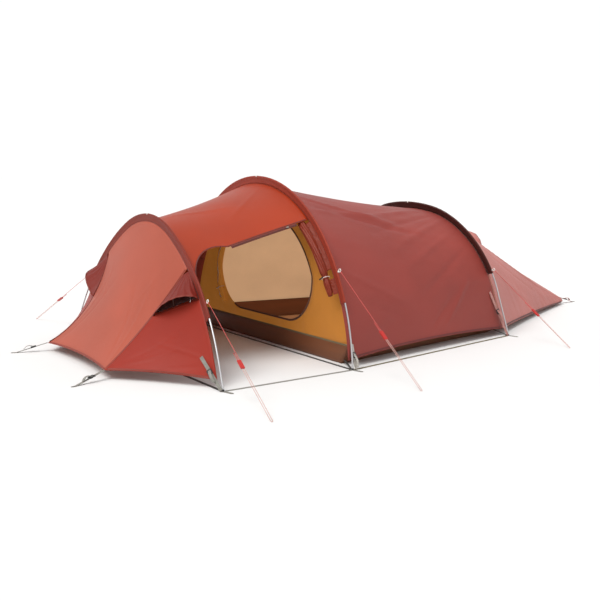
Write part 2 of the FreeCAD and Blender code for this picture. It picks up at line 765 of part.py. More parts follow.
def canopy(start, end, start_inward, end_inward):
    """Length of inner tent ruled between two arches, each a function of the share round it."""
    return cloth_solid(lambda u, v: mix(start(v), end(v), u),
                       lambda u, v: mix(start_inward(v), end_inward(v), u).normalize(),
                       stops(3), stops(20))


FRONT_EDGE = dim("floor_gap") + dim("cloth") + dim("seam_gap")
canopy_front = canopy(lambda v: inner_arch(MID, v, FRONT_EDGE), lambda v: inner_arch(REAR, v),
                      lambda v: arch_inward(MID, v), lambda v: arch_inward(REAR, v))
canopy_rear = canopy(lambda v: inner_arch(REAR, v), low_arch,
                     lambda v: arch_inward(REAR, v),
                     lambda v: Vector(0, math.cos(math.pi * v), -math.sin(math.pi * v)))
feature("inner_canopy", Part.Compound([canopy_front, canopy_rear]))


def inner_doorway(grow=0.0):
    """Outline of the inner doorway in the front wall's plane, grown outwards."""
    half = dim("inner_door_half") + grow
    top = dim("inner_door_top") + grow
    wide = dim("inner_door_wide")
    sill = dim("inner_door_sill") - grow
    low = 0.55 * half

    def at(y, z):
        return Vector(FLOOR_FRONT, y, z)

    bend = 0.87 * half, mix(sill, wide, 0.30)
    edges = [
        Part.Arc(at(half, wide), at(0, top), at(-half, wide)).toShape(),
        Part.Arc(at(-half, wide), at(-bend[0], bend[1]), at(-low, sill)).toShape(),
        Part.LineSegment(at(-low, sill), at(low, sill)).toShape(),
        Part.Arc(at(low, sill), at(bend[0], bend[1]), at(half, wide)).toShape(),
    ]
    return Part.Face(Part.Wire(edges))


def inner_wall():
    low = MID.run_at(WALL_LOW, INSET)
    arch = MID.path(low, MID.total - low, INSET)
    ends = MID.point(low, INSET), MID.point(MID.total - low, INSET)
    sill = Part.LineSegment(ends[1], ends[0]).toShape()
    face = Part.Face(Part.Wire(arch.Edges + [sill]))
    face.translate(Vector(dim("floor_gap"), 0, 0))
    wall = face.extrude(Vector(dim("cloth"), 0, 0))
    hole = inner_doorway().extrude(Vector(2 * dim("cloth"), 0, 0))
    hole.translate(Vector(-dim("cloth") / 2, 0, 0))
    return wall.cut(hole)


feature("inner_front_wall", inner_wall())


def rear_end_wall():
    clear = dim("cloth") + dim("seam_gap")
    scale = 1 - clear / dim("rear_wall_half")
    points = []
    for v in stops(12):
        place = low_arch(v)
        points.append(Vector(place.x, place.y * scale, place.z - clear * math.sin(math.pi * v)))
    outline = [spline_edge(points).toShape(), Part.LineSegment(points[-1], points[0]).toShape()]
    return Part.Face(Part.Wire(outline)).extrude(Vector(-dim("cloth"), 0, 0))


feature("inner_rear_wall", rear_end_wall())


def tub_outline(height, inset):
    """Floor outline at a height: the walls lean out by the flare from ground to rim."""
    lean = dim("tub_flare") * (1 - height / dim("tub_height")) + inset
    half_front = -MID.point(MID.run_at(WALL_LOW, INSET), INSET).y - lean
    middle = REAR.point(REAR.run_at(WALL_LOW, INSET), INSET)
    half_rear = dim("rear_wall_half") - lean / 2 - inset / 2
    near = [Vector(FLOOR_FRONT + inset, -half_front, height),
            Vector(middle.x, middle.y + lean, height),
            Vector(FLOOR_REAR - inset, -half_rear, height)]
    far = [Vector(p.x, -p.y, p.z) for p in reversed(near)]
    return Part.makePolygon(near + far + near[:1])


def tub():
    wall = dim("tub_thick")
    rim = dim("tub_height")
    outside = Part.makeLoft([tub_outline(0, 0), tub_outline(rim, 0)], True, True)
    inside = Part.makeLoft([tub_outline(wall, wall), tub_outline(rim + 5, wall)], True, True)
    return outside.cut(inside)


feature("ground_sheet", tub())


def hanger(hoop, share, shift):
    """Short clip between the sleeve's root and the inner tent."""
    run = hoop.total * share
    rim = dim("hanger_radius") * shift / math.hypot(shift, INSET - DEPTH - dim("cloth"))
    start = hoop.point(run, DEPTH + dim("cloth") + dim("seam_gap") + rim)
    end = hoop.point(run, INSET - 3 * dim("seam_gap") - rim) + Vector(shift, 0, 0)
    along = end - start
    return Part.makeCylinder(dim("hanger_radius"), along.Length, start, along)


HANGER_SHARES = [0.16, 0.33, 0.5, 0.67, 0.84]
hangers = [hanger(REAR, share, 0) for share in HANGER_SHARES]
hangers += [hanger(MID, share, dim("floor_gap")) for share in HANGER_SHARES]
feature("inner_hangers", Part.Compound(hangers))


# ---------------------------------------------------------------- zips
def surface_at(point, x, z, u, v):
    """u, v where a sheet passes a given x and height, from a first guess, by Newton's steps."""
    step = 0.001
    for _ in range(20):
        here = point(u, v)
        along = (point(u + step, v) - here) / step
        across = (point(u, v + step) - here) / step
        det = along.x * across.z - along.z * across.x
        ahead, rise = x - here.x, z - here.z
        u += (ahead * across.z - rise * across.x) / det
        v += (along.x * rise - along.z * ahead) / det
    return u, v


ZIP_FRONT = Vector(MID_X - dim("door_turn") + 20, 0, 0)
ZIP_REAR = Vector(MID_X - 2 * dim("roll_radius") - 30, 0, 0)
ZIP_DROP = 0.3  # the tape's upper edge below the cloth's cut edge
TOP_SLOPE = (dim("door_top_rear") - dim("door_top_front")) / dim("door_turn")


def zip_edge(share, below):
    """Place on the porch cloth's surface along the doorway's top edge, below it by below."""
    x = mix(ZIP_FRONT.x, ZIP_REAR.x, share)
    z = dim("door_top_front") + TOP_SLOPE * (x - (MID_X - dim("door_turn"))) - below
    return surface_at(porch_point, x, z, 0.5, 0.25)


def zip_point(u, v):
    return porch_point(*zip_edge(u, mix(ZIP_DROP, dim("zip_width"), v)))


def zip_inward(u, v):
    return sheet_normal(zip_point, u, v, Vector(0, 1, -0.3))


feature("fly_zip", cloth_solid(zip_point, zip_inward, stops(8), stops(3), dim("zip_thick")))


def padded_box(name, length, width, thick):
    """PartDesign block that stands on its origin, long along X; returns it with its sketch."""
    body = doc.addObject("PartDesign::Body", name)
    body.Label = name
    sketch = body.newObject("Sketcher::SketchObject", name + "_outline")
    plane = [p for p in body.Origin.OriginFeatures if p.Role == "XY_Plane"][0]
    sketch.AttachmentSupport = (plane, [""])
    sketch.MapMode = "FlatFace"
    rectangle(sketch, length, width)
    pad = body.newObject("PartDesign::Pad", name + "_pad")
    pad.Profile = sketch
    pad.setExpression("Length", thick)
    return body, sketch


def rectangle(sketch, length, width):
    """Rectangle centred on the sketch's origin with both sizes bound to the sheet."""
    corners = [(-10, -5), (10, -5), (10, 5), (-10, 5)]
    first = sketch.GeometryCount
    for one, other in zip(corners, corners[1:] + corners[:1]):
        sketch.addGeometry(Part.LineSegment(Vector(*one, 0), Vector(*other, 0)), False)
    rules = []
    for i in range(4):
        rules.append(Sketcher.Constraint("Coincident", first + i, 2, first + (i + 1) % 4, 1))
    rules.append(Sketcher.Constraint("Horizontal", first))
    rules.append(Sketcher.Constraint("Horizontal", first + 2))
    rules.append(Sketcher.Constraint("Vertical", first + 1))
    rules.append(Sketcher.Constraint("Vertical", first + 3))
    rules.append(Sketcher.Constraint("Symmetric", first, 1, first + 2, 1, -1, 1))
    sketch.addConstraint(rules)
    across = sketch.addConstraint(Sketcher.Constraint("DistanceX", first, 1, first, 2, 20))
    sketch.setExpression("Constraints[%d]" % across, length)
    up = sketch.addConstraint(Sketcher.Constraint("DistanceY", first + 1, 1, first + 1, 2, 10))
    sketch.setExpression("Constraints[%d]" % up, width)
    return first


def place_box(body, centre, x_axis, normal, lift=0.0):
    """Put a block's base at centre with its length along x_axis and its height along normal."""
    x_axis = Vector(x_axis).normalize()
    y_axis = Vector(normal).cross(x_axis).normalize()
    z_axis = x_axis.cross(y_axis)
    body.Placement = Placement(centre + z_axis * lift, Rotation(x_axis, y_axis, z_axis, "XYZ"))


SLIDER_AT = 0.86  # where the zip's slider is parked, share of the zip from its front end
zip_body = padded_box("fly_zip_slider", "dims.slider_length", "dims.zip_width - 3", "dims.zip_thick * 2.5")[0]
subpart(zip_body)
zip_out = -zip_inward(SLIDER_AT, 0.5)
ZIP_AXIS = (zip_point(1, 0.5) - zip_point(0, 0.5)).normalize()
place_box(zip_body, zip_point(SLIDER_AT, 0.5), ZIP_AXIS, zip_out, 0.8)


def inner_zip():
    """Zip tape round the inner doorway, open along the side where the door is rolled."""
    front = inner_doorway(dim("zip_width") / 2).cut(inner_doorway(-dim("zip_width") / 2))
    tape = front.extrude(Vector(-dim("zip_thick"), 0, 0))
    tape.translate(Vector(-dim("seam_gap"), 0, 0))
    gap = Part.makeBox(80, 400, 520, Vector(FLOOR_FRONT - 40, 0.7 * dim("inner_door_half"), 200))
    return tape.cut(gap)


feature("inner_zip", inner_zip())

# the inner slider rides the doorway's top arc, a circle through its crown and its wide points
HALF = dim("inner_door_half")
RISE = dim("inner_door_top") - dim("inner_door_wide")
TOP_RADIUS = (HALF ** 2 + RISE ** 2) / (2 * RISE)
TOP_CENTRE = Vector(FLOOR_FRONT, 0, dim("inner_door_top") - TOP_RADIUS)
PARK = math.radians(30)  # parked this far round the top arc from its crown
slider_body = padded_box("inner_zip_slider", "dims.slider_length", "dims.zip_width - 3",
                         "dims.zip_thick * 2.5")[0]
subpart(slider_body)
radial = Vector(0, math.sin(PARK), math.cos(PARK))
ahead = Vector(-(dim("seam_gap") + dim("zip_thick") + dim("seam_gap")), 0, 0)
place_box(slider_body, TOP_CENTRE + radial * TOP_RADIUS + ahead,
          Vector(0, math.cos(PARK), -math.sin(PARK)), Vector(-1, 0, 0))


# ---------------------------------------------------------------- rolled doors and toggles
ROLL_INSET = DEPTH + dim("roll_radius") + 16
ROLL_SHIFT = Vector(-dim("roll_radius") - 6, 0, 0)
ROLL_LOW = MID.run_at(dim("roll_low"), ROLL_INSET)
ROLL_HIGH = MID.run_at(dim("roll_high"), ROLL_INSET)


roll_path = MID.path(ROLL_LOW, ROLL_HIGH, ROLL_INSET)
roll_path.translate(ROLL_SHIFT)


def door_flap():
    """Flat cloth that ties the rolled door to the mid sleeve's root, below the doorway's corner."""
    gap = dim("seam_gap")
    margin = 15.0
    low = MID.run_at(dim("toggle_height") + 2 * dim("roll_radius"), ROLL_INSET)
    high = min(ROLL_HIGH, MID.run_at(dim("door_top_rear"), DEPTH)) - margin

    def flap_point(u, v):
        run = mix(low, high, v)
        root = MID.point(run, DEPTH, -dim("fin_half") - gap)
        centre = MID.point(run, ROLL_INSET) + ROLL_SHIFT
        return mix(root, centre + (root - centre).normalize() * (dim("roll_radius") + gap), u)

    def flap_inward(u, v):
        return (MID.inward(mix(low, high, v)) + Vector(1, 0, 0)).normalize() * -1

    return cloth_solid(flap_point, flap_inward, stops(3), stops(8), dim("zip_thick"))


feature("porch_door_roll", Part.Compound([pipe(roll_path, dim("roll_radius")), door_flap()]))

INNER_ROLL_X = FLOOR_FRONT - dim("inner_roll_radius") - 2 * dim("loop_wire") - 2 * dim("seam_gap")


def inner_roll_path():
    side = dim("inner_door_half")
    low = Vector(INNER_ROLL_X, side * 0.88, dim("inner_door_sill") + 20)
    middle = Vector(INNER_ROLL_X, side * 0.985, dim("inner_door_wide") - 60)
    high = Vector(INNER_ROLL_X, side * 0.60, dim("inner_door_top") - 115)
    return Part.Wire([Part.Arc(low, middle, high).toShape()])


feature("inner_door_roll", pipe(inner_roll_path(), dim("inner_roll_radius")))


def toggle(name, centre, along, outward, roll_radius):
    """Loop round the roll and a bar through it that turns to let go."""
    loop_radius = roll_radius + dim("loop_wire") + dim("seam_gap")
    loop = Part.makeTorus(loop_radius, dim("loop_wire"), centre, along)
    bar = bound("Part::Cylinder", name, Radius="dims.toggle_radius", Height="dims.toggle_length")
    across = Vector(along).cross(outward).normalize()
    reach = loop_radius + dim("loop_wire") + dim("toggle_radius") + dim("seam_gap")
    middle = centre + outward * reach
    bar.Placement = frame_at(middle - across * (dim("toggle_length") / 2), across, outward)
    subpart(bar)
    return loop


def at_run(path, height):
    """Point and direction of a wire of arcs where it reaches a height."""
    for edge in path.OrderedEdges:
        points = edge.discretize(80)
        for one, other in zip(points, points[1:]):
            if (one.z - height) * (other.z - height) <= 0:
                return one, (other - one).normalize()
    raise ValueError("a toggle's height is off its roll")


spot, way = at_run(roll_path, dim("toggle_height"))
loops = [toggle("porch_door_toggle", spot, way, Vector(-1, 0, 0), dim("roll_radius"))]
spot, way = at_run(inner_roll_path(), dim("inner_toggle_height"))
loops.append(toggle("inner_door_toggle", spot, way, Vector(-1, 0, 0), dim("inner_roll_radius")))
feature("toggle_loops", Part.Compound(loops))


# ---------------------------------------------------------------- webbing on the ground
WEB = dim("web_thick")


def ribbon(start, end, normal, width=dim("web_width")):
    """Straight flat webbing between two points, its flat side facing normal."""
    along = end - start
    x_axis = Vector(along).normalize()
    y_axis = Vector(normal).cross(x_axis).normalize()
    z_axis = x_axis.cross(y_axis)
    box = Part.makeBox(along.Length, width, WEB, Vector(0, -width / 2, 0))
    box.Placement = Placement(start, Rotation(x_axis, y_axis, z_axis, "XYZ"))
    return box


def peg_tab(foot, way):
    """Pad under the pole's end with a tongue out to the peg eyelet's hole."""
    end = foot + way * dim("peg_tab_length")
    tab = ribbon(foot - way * dim("pad_length") / 2, end + way * dim("web_width") / 2, Vector(0, 0, 1))
    hole = Part.makeCylinder(EYELET_OUT + dim("fit_gap"), WEB * 3, end - Vector(0, 0, WEB))
    return tab.cut(hole)


EYELET_OUT = dim("eyelet_bore") + dim("eyelet_wall")
UP = Vector(0, 0, 1)
OUTWARD = {side: Vector(0, -SIDES[side], 0) for side in SIDES}
SPLAY = math.radians(dim("peg_splay"))
TAB_WAY = {side: Vector(math.sin(SPLAY), 0, 0) + OUTWARD[side] * math.cos(SPLAY) for side in SIDES}
FEET = [(hoop, side) for hoop in HOOPS for side in SIDES]
feature("peg_tabs", Part.Compound([peg_tab(toe(hoop, side), TAB_WAY[side]) for hoop, side in FEET]))


def eyelet(name, centre):
    ring = doc.addObject("Part::Cut", name)
    ring.Base = bound("Part::Cylinder", name + "_rim",
                      Radius="dims.eyelet_bore + dims.eyelet_wall", Height="dims.eyelet_height")
    ring.Tool = bound("Part::Cylinder", name + "_bore",
                      Radius="dims.eyelet_bore", Height="dims.eyelet_height")
    ring.Placement = Placement(centre, Rotation())
    return ring


def side_point(point, side):
    return Vector(point.x, point.y * SIDES[side], point.z)


NOSE_CORNER = Vector(NOSE_X - dim("seam_gap"), -dim("nose_half") - dim("seam_gap"), dim("nose_height"))
NOSE_END = Vector(NOSE_X - dim("nose_strap_ahead"), -dim("nose_half") - dim("nose_strap_out"), 0)
TAIL_START = Vector(TAIL_X + dim("seam_gap"), 0, dim("hem_height") / 2 + dim("tail_end_height") - dim("cloth"))
TAIL_END = Vector(TAIL_X + dim("tail_strap_length"), 0, 0)

eyelets = []
for hoop, side in FEET:
    spot = toe(hoop, side) + TAB_WAY[side] * dim("peg_tab_length")
    eyelets.append(eyelet("eyelet_%s_%s" % (hoop.name, side), spot))
for name, spot in (("nose_near", NOSE_END), ("nose_far", side_point(NOSE_END, "far")), ("tail", TAIL_END)):
    eyelets.append(eyelet("eyelet_" + name, spot))
group("peg_eyelets", eyelets)


def ground_strap(start, end, pad_reach):
    """Webbing on the ground between two pads, its ends cut clear of them."""
    way = (end - start).normalize()
    skew = min(abs(way.x), abs(way.y))
    trim = (pad_reach + dim("seam_gap") + skew * dim("web_width") / 2) / math.sqrt(1 - skew ** 2)
    return ribbon(start + way * trim, end - way * trim, UP)


# how far a strap must stop from the foot to miss the turned pad's end and its side
HALF_WEB = dim("web_width") / 2
END_REACH = dim("pad_length") / 2 * math.cos(SPLAY) + HALF_WEB * math.sin(SPLAY)
SIDE_REACH = HALF_WEB * (1 + math.sin(SPLAY)) / math.cos(SPLAY)
straps = [ground_strap(toe(hoop, "near"), toe(hoop, "far"), END_REACH) for hoop in (FRONT, MID)]
for side in SIDES:
    straps.append(ground_strap(toe(FRONT, side), toe(MID, side), SIDE_REACH))
    straps.append(ground_strap(toe(MID, side), toe(REAR, side), SIDE_REACH))
feature("ground_straps", Part.Compound(straps))


def peg_end(spot, way):
    """Webbing end on the ground round a peg eyelet."""
    pad = ribbon(spot - way * dim("web_width"), spot + way * dim("web_width") / 2, UP)
    return pad.cut(Part.makeCylinder(EYELET_OUT + dim("fit_gap"), WEB * 3, spot - Vector(0, 0, WEB)))


def end_strap(start, end):
    """Webbing from a cloth corner down to its pad on the ground, buckle left clear."""
    flat = Vector(end.x - start.x, end.y - start.y, 0).normalize()
    pad = peg_end(end, flat)
    low = end - flat * (dim("web_width") + WEB / 2) + Vector(0, 0, dim("fit_gap"))
    return pad, (start, low)


end_runs = [end_strap(NOSE_CORNER, NOSE_END),
            end_strap(side_point(NOSE_CORNER, "far"), side_point(NOSE_END, "far")),
            end_strap(TAIL_START, TAIL_END)]


def buckle(name, centre, along, normal):
    """Ladder buckle: a frame with a middle bar, its webbing slots cut through."""
    body = padded_box(name, "dims.buckle_length", "dims.buckle_width", "dims.buckle_thick")[0]
    for i, sign in enumerate((-1, 1)):
        slot = body.newObject("Sketcher::SketchObject", "%s_slot_%d" % (name, i))
        plane = [p for p in body.Origin.OriginFeatures if p.Role == "XY_Plane"][0]
        slot.AttachmentSupport = (plane, [""])
        slot.MapMode = "FlatFace"
        rectangle(slot, "(dims.buckle_length - 3 * dims.buckle_bar) / 2",
                  "dims.buckle_width - 2 * dims.buckle_bar")
        slot.setExpression("AttachmentOffset.Base.x",
                           "%d * (dims.buckle_length - dims.buckle_bar) / 4" % sign)
        cut = body.newObject("PartDesign::Pocket", "%s_cut_%d" % (name, i))
        cut.Profile = slot
        cut.Type = "ThroughAll"
        cut.Reversed = True
    place_box(body, centre, along, normal)
    return body


HALF_BUCKLE = dim("buckle_length") / 2


def split_strap(start, end, share, normal):
    """Two straight webbing runs either side of a buckle, and the buckle's centre."""
    way = (end - start).normalize()
    centre = mix(start, end, share)
    gap = HALF_BUCKLE + 0.3
    runs = [ribbon(start, centre - way * gap, normal), ribbon(centre + way * gap, end, normal)]
    return runs, centre, way


end_pieces = []
end_buckles = []
for (pad, (start, end)), name in zip(end_runs, ("nose_near", "nose_far", "tail")):
    runs, centre, way = split_strap(start, end, dim("end_buckle_share"), UP)
    end_pieces += [pad] + runs
    end_buckles.append(buckle("buckle_" + name, centre, way, UP))
feature("end_straps", Part.Compound(end_pieces))


# foot straps run from the fly beside each pole down to the pad under it
BESIDE_POLE = {"front": -1, "mid": 1, "rear": -1}
FOOT_STRAP_X = dim("web_width") / 2 + 6
FOOT_STRAP_Y = 8.0
SHEET_BESIDE = {"front": (panel_point, 0.9, 0.7), "mid": (body_point, 0.05, 0.06),
                "rear": (body_point, 0.95, 0.10)}
ON_GROUND = Part.Compound(straps + [peg_tab(toe(hoop, side), TAB_WAY[side]) for hoop, side in FEET])
foot_runs = []
foot_buckles = []


def foot_strap(hoop, side):
    """Strap's two ends and the way it faces: on the fly beside the pole, and on the foot's pad."""
    sign = BESIDE_POLE[hoop.name]
    height = dim("strap_height_" + hoop.name)
    skin, u, v = SHEET_BESIDE[hoop.name]
    ahead = hoop.point(hoop.run_at(height)).x + sign * dim("strap_beside")
    u, v = surface_at(skin, ahead, height, u, v)
    face = sheet_normal(skin, u, v, Vector(0, -1, 0))
    top = skin(u, v) + face * dim("seam_gap") * 3
    low = toe(hoop, "near") + Vector(sign * FOOT_STRAP_X, -FOOT_STRAP_Y, dim("web_width"))
    gap = ribbon(top, low, face).distToShape(ON_GROUND)[0]
    low.z -= gap - dim("seam_gap")
    return side_point(top, side), side_point(low, side), side_point(face, side)


for hoop, side in FEET:
    top, low, face = foot_strap(hoop, side)
    runs, centre, way = split_strap(top, low, dim("foot_buckle_share"), face)
    foot_runs += runs
    foot_buckles.append(buckle("buckle_%s_%s" % (hoop.name, side), centre, way, face))
feature("foot_straps", Part.Compound(foot_runs))


def corner_strap(hoop, side):
    """Short strap from the ground sheet's wall, beside the hoop, to the pad under the pole."""
    height = dim("corner_strap_height")
    edge_x = {"mid": FLOOR_FRONT + dim("corner_strap_width"), "rear": REAR_X}[hoop.name]
    start = side_point(tub_edge(edge_x, height), side)
    foot = toe(hoop, side)
    end = foot + Vector(0, 0, WEB) - OUTWARD[side] * dim("pad_length") / 3
    way = (end - start).normalize()
    skew = dim("corner_strap_width") / 2 * abs(way.x) / math.sqrt(1 - way.x ** 2)
    wall_lean = WEB * dim("tub_flare") / dim("tub_height")
    start += way * (2 * dim("seam_gap") + skew + wall_lean)
    end.z += dim("seam_gap") + abs(way.z) * WEB
    return ribbon(start, end, UP, dim("corner_strap_width"))


def tub_edge(x, height):
    """Point on the ground sheet's near wall, outside, at an x and a height."""
    lean = dim("tub_flare") * (1 - height / dim("tub_height"))
    front = MID.point(MID.run_at(WALL_LOW, INSET), INSET).y + lean
    middle = REAR.point(REAR.run_at(WALL_LOW, INSET), INSET)
    share = (x - FLOOR_FRONT) / (middle.x - FLOOR_FRONT)
    return Vector(x, mix(front, middle.y + lean, share), height)


feature("corner_straps", Part.Compound([corner_strap(hoop, side) for hoop in (MID, REAR) for side in SIDES]))
group("foot_buckles", foot_buckles)
group("end_buckles", end_buckles)


# ---------------------------------------------------------------- guy lines
TAB_LENGTH = 10.0


def guy_line(hoop, side):
    """Ring on the sleeve, taut cord to the peg place and back, adjuster on both strands."""
    name = "%s_%s" % (hoop.name, side)
    out = side_point(hoop.point(hoop.run_at(dim("ring_height_" + hoop.name)), 0), side)
    away = side_point(hoop.point(hoop.run_at(dim("ring_height_" + hoop.name)), 1), side)
    outward = (out - away).normalize()
    skin = dim("pole_radius") + dim("sleeve_bore_gap") + dim("sleeve_wall")
    reach = dim("guy_ring_radius") + dim("guy_ring_wire")
    peg = toe(hoop, side) + OUTWARD[side] * dim("guy_out_" + hoop.name)
    peg += Vector(dim("guy_ahead_" + hoop.name), 0, dim("guy_drop"))
    centre = out + outward * (skin + TAB_LENGTH + reach + 2 * dim("seam_gap"))
    way = (peg - centre).normalize()
    beside = way.cross(UP).normalize()
    ring = Part.makeTorus(dim("guy_ring_radius"), dim("guy_ring_wire"), centre, way.cross(outward))
    tab_start = out + outward * (skin + dim("seam_gap"))
    tab = ribbon(tab_start, tab_start + outward * TAB_LENGTH, hoop.normal, TAB_LENGTH)
    start = centre + way * (reach + dim("seam_gap"))
    turn = dim("guy_turn")
    strand_end = peg
    back = peg + beside * 2 * turn
    whole = (strand_end - start).Length
    back_length = whole * (1 - dim("adjuster_share")) + dim("adjuster_length") / 2 + dim("guy_tail")
    path = Part.Wire([
        Part.LineSegment(start, strand_end).toShape(),
        Part.Arc(strand_end, peg + beside * turn + way * turn, back).toShape(),
        Part.LineSegment(back, back - way * back_length).toShape(),
    ])
    feature("guy_line_" + name, pipe(path, dim("guy_radius")))
    middle = mix(start, strand_end, dim("adjuster_share")) + beside * turn
    adjuster("adjuster_" + name, middle - way * (dim("adjuster_length") / 2), way, beside)
    print("guy_line_%s: length %.1f, turn radius %.1f, axis %.6f %.6f %.6f" % (
        name, path.Length, turn, way.x, way.y, way.z))
    return ring, tab


def adjuster(name, base, way, beside):
    """Line adjuster: a bar with two running holes along it."""
    body, sketch = padded_box(name, "dims.adjuster_width", "dims.adjuster_thick", "dims.adjuster_length")
    for sign in (-1, 1):
        hole = sketch.addGeometry(Part.Circle(Vector(sign * 5, 0, 0), UP, 1.9), False)
        sketch.addConstraint(Sketcher.Constraint("PointOnObject", hole, 3, -1))
        radius = sketch.addConstraint(Sketcher.Constraint("Radius", hole, 1.9))
        sketch.setExpression("Constraints[%d]" % radius, "dims.guy_radius + dims.adjuster_hole_gap")
        first = (-1, 1, hole, 3) if sign > 0 else (hole, 3, -1, 1)
        place = sketch.addConstraint(Sketcher.Constraint("DistanceX", *first, 5))
        sketch.setExpression("Constraints[%d]" % place, "dims.guy_turn")
    body.Placement = frame_at(base, way, beside)
    subpart(body)


pairs = [guy_line(hoop, side) for hoop, side in FEET]
feature("guy_rings", Part.Compound([ring for ring, tab in pairs]))
feature("guy_tabs", Part.Compound([tab for ring, tab in pairs]))


# ---------------------------------------------------------------- checks and files
doc.recompute()
for item in doc.Objects:
    if "Invalid" in item.State or "Error" in item.State:
        raise ValueError("failed object: " + item.Name)
for item in SUBPARTS:
    if item.Shape.isNull() or not item.Shape.isValid() or not item.Shape.Solids:
        raise ValueError("bad shape: " + item.Label)

os.makedirs("parts", exist_ok=True)
for item in SUBPARTS:
    item.Shape.exportStep("parts/" + item.Label + ".step")
for label, place in (("fly zip axis", ZIP_AXIS), ("near strut base", STRUT_BASE), ("near strut brim", STRUT_BRIM),
                     ("near strut hinge", (hood_point(1, 1.0) - hood_point(0, 1.0)).normalize()),
                     ("rear strut base", rear_base(0.5, 1.0)), ("inner zip centre", TOP_CENTRE)):
    print("%s: %.6f %.6f %.6f" % (label, place.x, place.y, place.z))
print("%d sub-parts, hoop lengths %s" % (
    len(SUBPARTS), ", ".join("%s %.0f" % (hoop.name, hoop.total) for hoop in HOOPS)))
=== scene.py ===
# %% [markdown]
# # A tunnel tent on three pole hoops
# The tent is pitched for use: three arched poles in cloth sleeves carry an outer
# fly, a yellow inner tent hangs below it, and webbing and cords hold the feet in
# place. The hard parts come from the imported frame. This lesson cuts the cloth,
# webbing and cords round them and gives every surface its finish.

# %% Load the frame
import math

import bmesh
import bpy
from mathutils import Matrix, Vector, noise


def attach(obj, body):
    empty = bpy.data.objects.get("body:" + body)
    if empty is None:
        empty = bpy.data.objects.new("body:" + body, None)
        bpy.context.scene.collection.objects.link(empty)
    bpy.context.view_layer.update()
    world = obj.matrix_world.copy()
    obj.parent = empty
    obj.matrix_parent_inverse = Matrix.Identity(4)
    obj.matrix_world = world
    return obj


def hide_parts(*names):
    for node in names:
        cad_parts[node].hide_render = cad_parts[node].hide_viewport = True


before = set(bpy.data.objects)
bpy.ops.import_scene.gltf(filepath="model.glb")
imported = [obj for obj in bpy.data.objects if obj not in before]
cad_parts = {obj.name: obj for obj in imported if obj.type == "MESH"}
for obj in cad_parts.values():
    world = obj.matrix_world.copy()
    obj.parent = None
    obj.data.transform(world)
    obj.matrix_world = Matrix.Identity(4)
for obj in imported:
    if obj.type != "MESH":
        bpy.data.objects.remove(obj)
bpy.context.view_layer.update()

# %% [markdown]
# ## Camera, floor and light
# The tent is seen from its door side and front, from about head height at six and
# a half metres. A long lens keeps the far end in proportion. The floor and the sky
# are near white, so cloth is lit softly from all round, and one soft lamp at the
# front left gives the hoops a light side and a dark side.

# %% Camera
EYE = Vector((-4.2505, -5.0447, 1.1544))
AHEAD = Vector((0.5514, 0.8210, -0.1481))
camera_data = bpy.data.cameras.new("camera")
camera_data.lens = 55.16
camera_data.sensor_width = 36.0
camera_data.clip_end = 60
camera = bpy.data.objects.new("camera", camera_data)
camera.location = EYE
camera.rotation_mode = "QUATERNION"
camera.rotation_quaternion = AHEAD.to_track_quat("-Z", "Y")
bpy.context.scene.collection.objects.link(camera)
bpy.context.scene.camera = camera
bpy.context.scene.view_settings.view_transform = "Standard"
print("camera at", tuple(round(x, 2) for x in EYE))


# %% Shader expressions
class Wire:
    """A node's output socket that takes part in Python arithmetic."""

    def __init__(self, tree, socket):
        self.tree = tree
        self.socket = socket

    def maths(self, operation, *values):
        return place(self.tree, "ShaderNodeMath", {"operation": operation}, dict(enumerate(values)))

    def sine(self):
        return self.maths("SINE", self)

    def absolute(self):
        return self.maths("ABSOLUTE", self)

    def above(self, level):
        return self.maths("GREATER_THAN", self, level)

    def limited(self):
        return self.maths("MAXIMUM", self.maths("MINIMUM", self, 1.0), 0.0)

    def split(self):
        """The three numbers of a vector."""
        node = place(self.tree, "ShaderNodeSeparateXYZ", {}, {0: self}).socket.node
        return [Wire(self.tree, node.outputs[i]) for i in range(3)]


for sign, operation in {"add": "ADD", "sub": "SUBTRACT", "mul": "MULTIPLY", "pow": "POWER"}.items():
    setattr(Wire, "__%s__" % sign, lambda self, other, word=operation: self.maths(word, self, other))
    setattr(Wire, "__r%s__" % sign, lambda self, other, word=operation: self.maths(word, other, self))


def place(tree, kind, settings=None, sockets=None, out=0):
    """Add a node: its settings first, then the values or links of its sockets."""
    node = tree.nodes.new(kind)
    for name, value in (settings or {}).items():
        setattr(node, name, value)
    for name, value in (sockets or {}).items():
        if isinstance(value, Wire):
            tree.links.new(value.socket, node.inputs[name])
        elif isinstance(value, tuple) and node.inputs[name].type == "RGBA":
            node.inputs[name].default_value = (*value, 1.0)
        else:
            node.inputs[name].default_value = value
    return Wire(tree, node.outputs[out])


def blend_colours(tree, share, one, other):
    """Mix of two colours, each a tuple or a wire."""
    return place(tree, "ShaderNodeMix", {"data_type": "RGBA"}, {0: share, 6: one, 7: other}, out=2)


print("shader expressions ready")


# %% [markdown]
# ## One way to make a finish
# Every finish is a Principled shader. What changes over the surface, such as
# colour, roughness and the bump of a weave, is built from coordinates by
# expressions. What is the same everywhere, such as sheen, is typed on the shader.

# %% Finish helper
def finish(name, build, **constants):
    """New material: build gets the tree and returns what feeds the shader's sockets."""
    material = bpy.data.materials.new(name)
    material.use_nodes = True
    tree = material.node_tree
    shader = tree.nodes["Principled BSDF"]
    for socket, value in constants.items():
        shader.inputs[socket.replace("_", " ")].default_value = value
    for socket, value in build(tree).items():
        if socket == "Height":
            height, depth = value
            socket = "Normal"
            value = place(tree, "ShaderNodeBump", {}, {"Strength": 0.6, "Distance": depth, "Height": height})
        tree.links.new(value.socket, shader.inputs[socket])
    return material


def in_scene(name, data):
    """Object from a mesh, curve, lamp or camera, put in the scene."""
    obj = bpy.data.objects.new(name, data)
    bpy.context.scene.collection.objects.link(obj)
    return obj


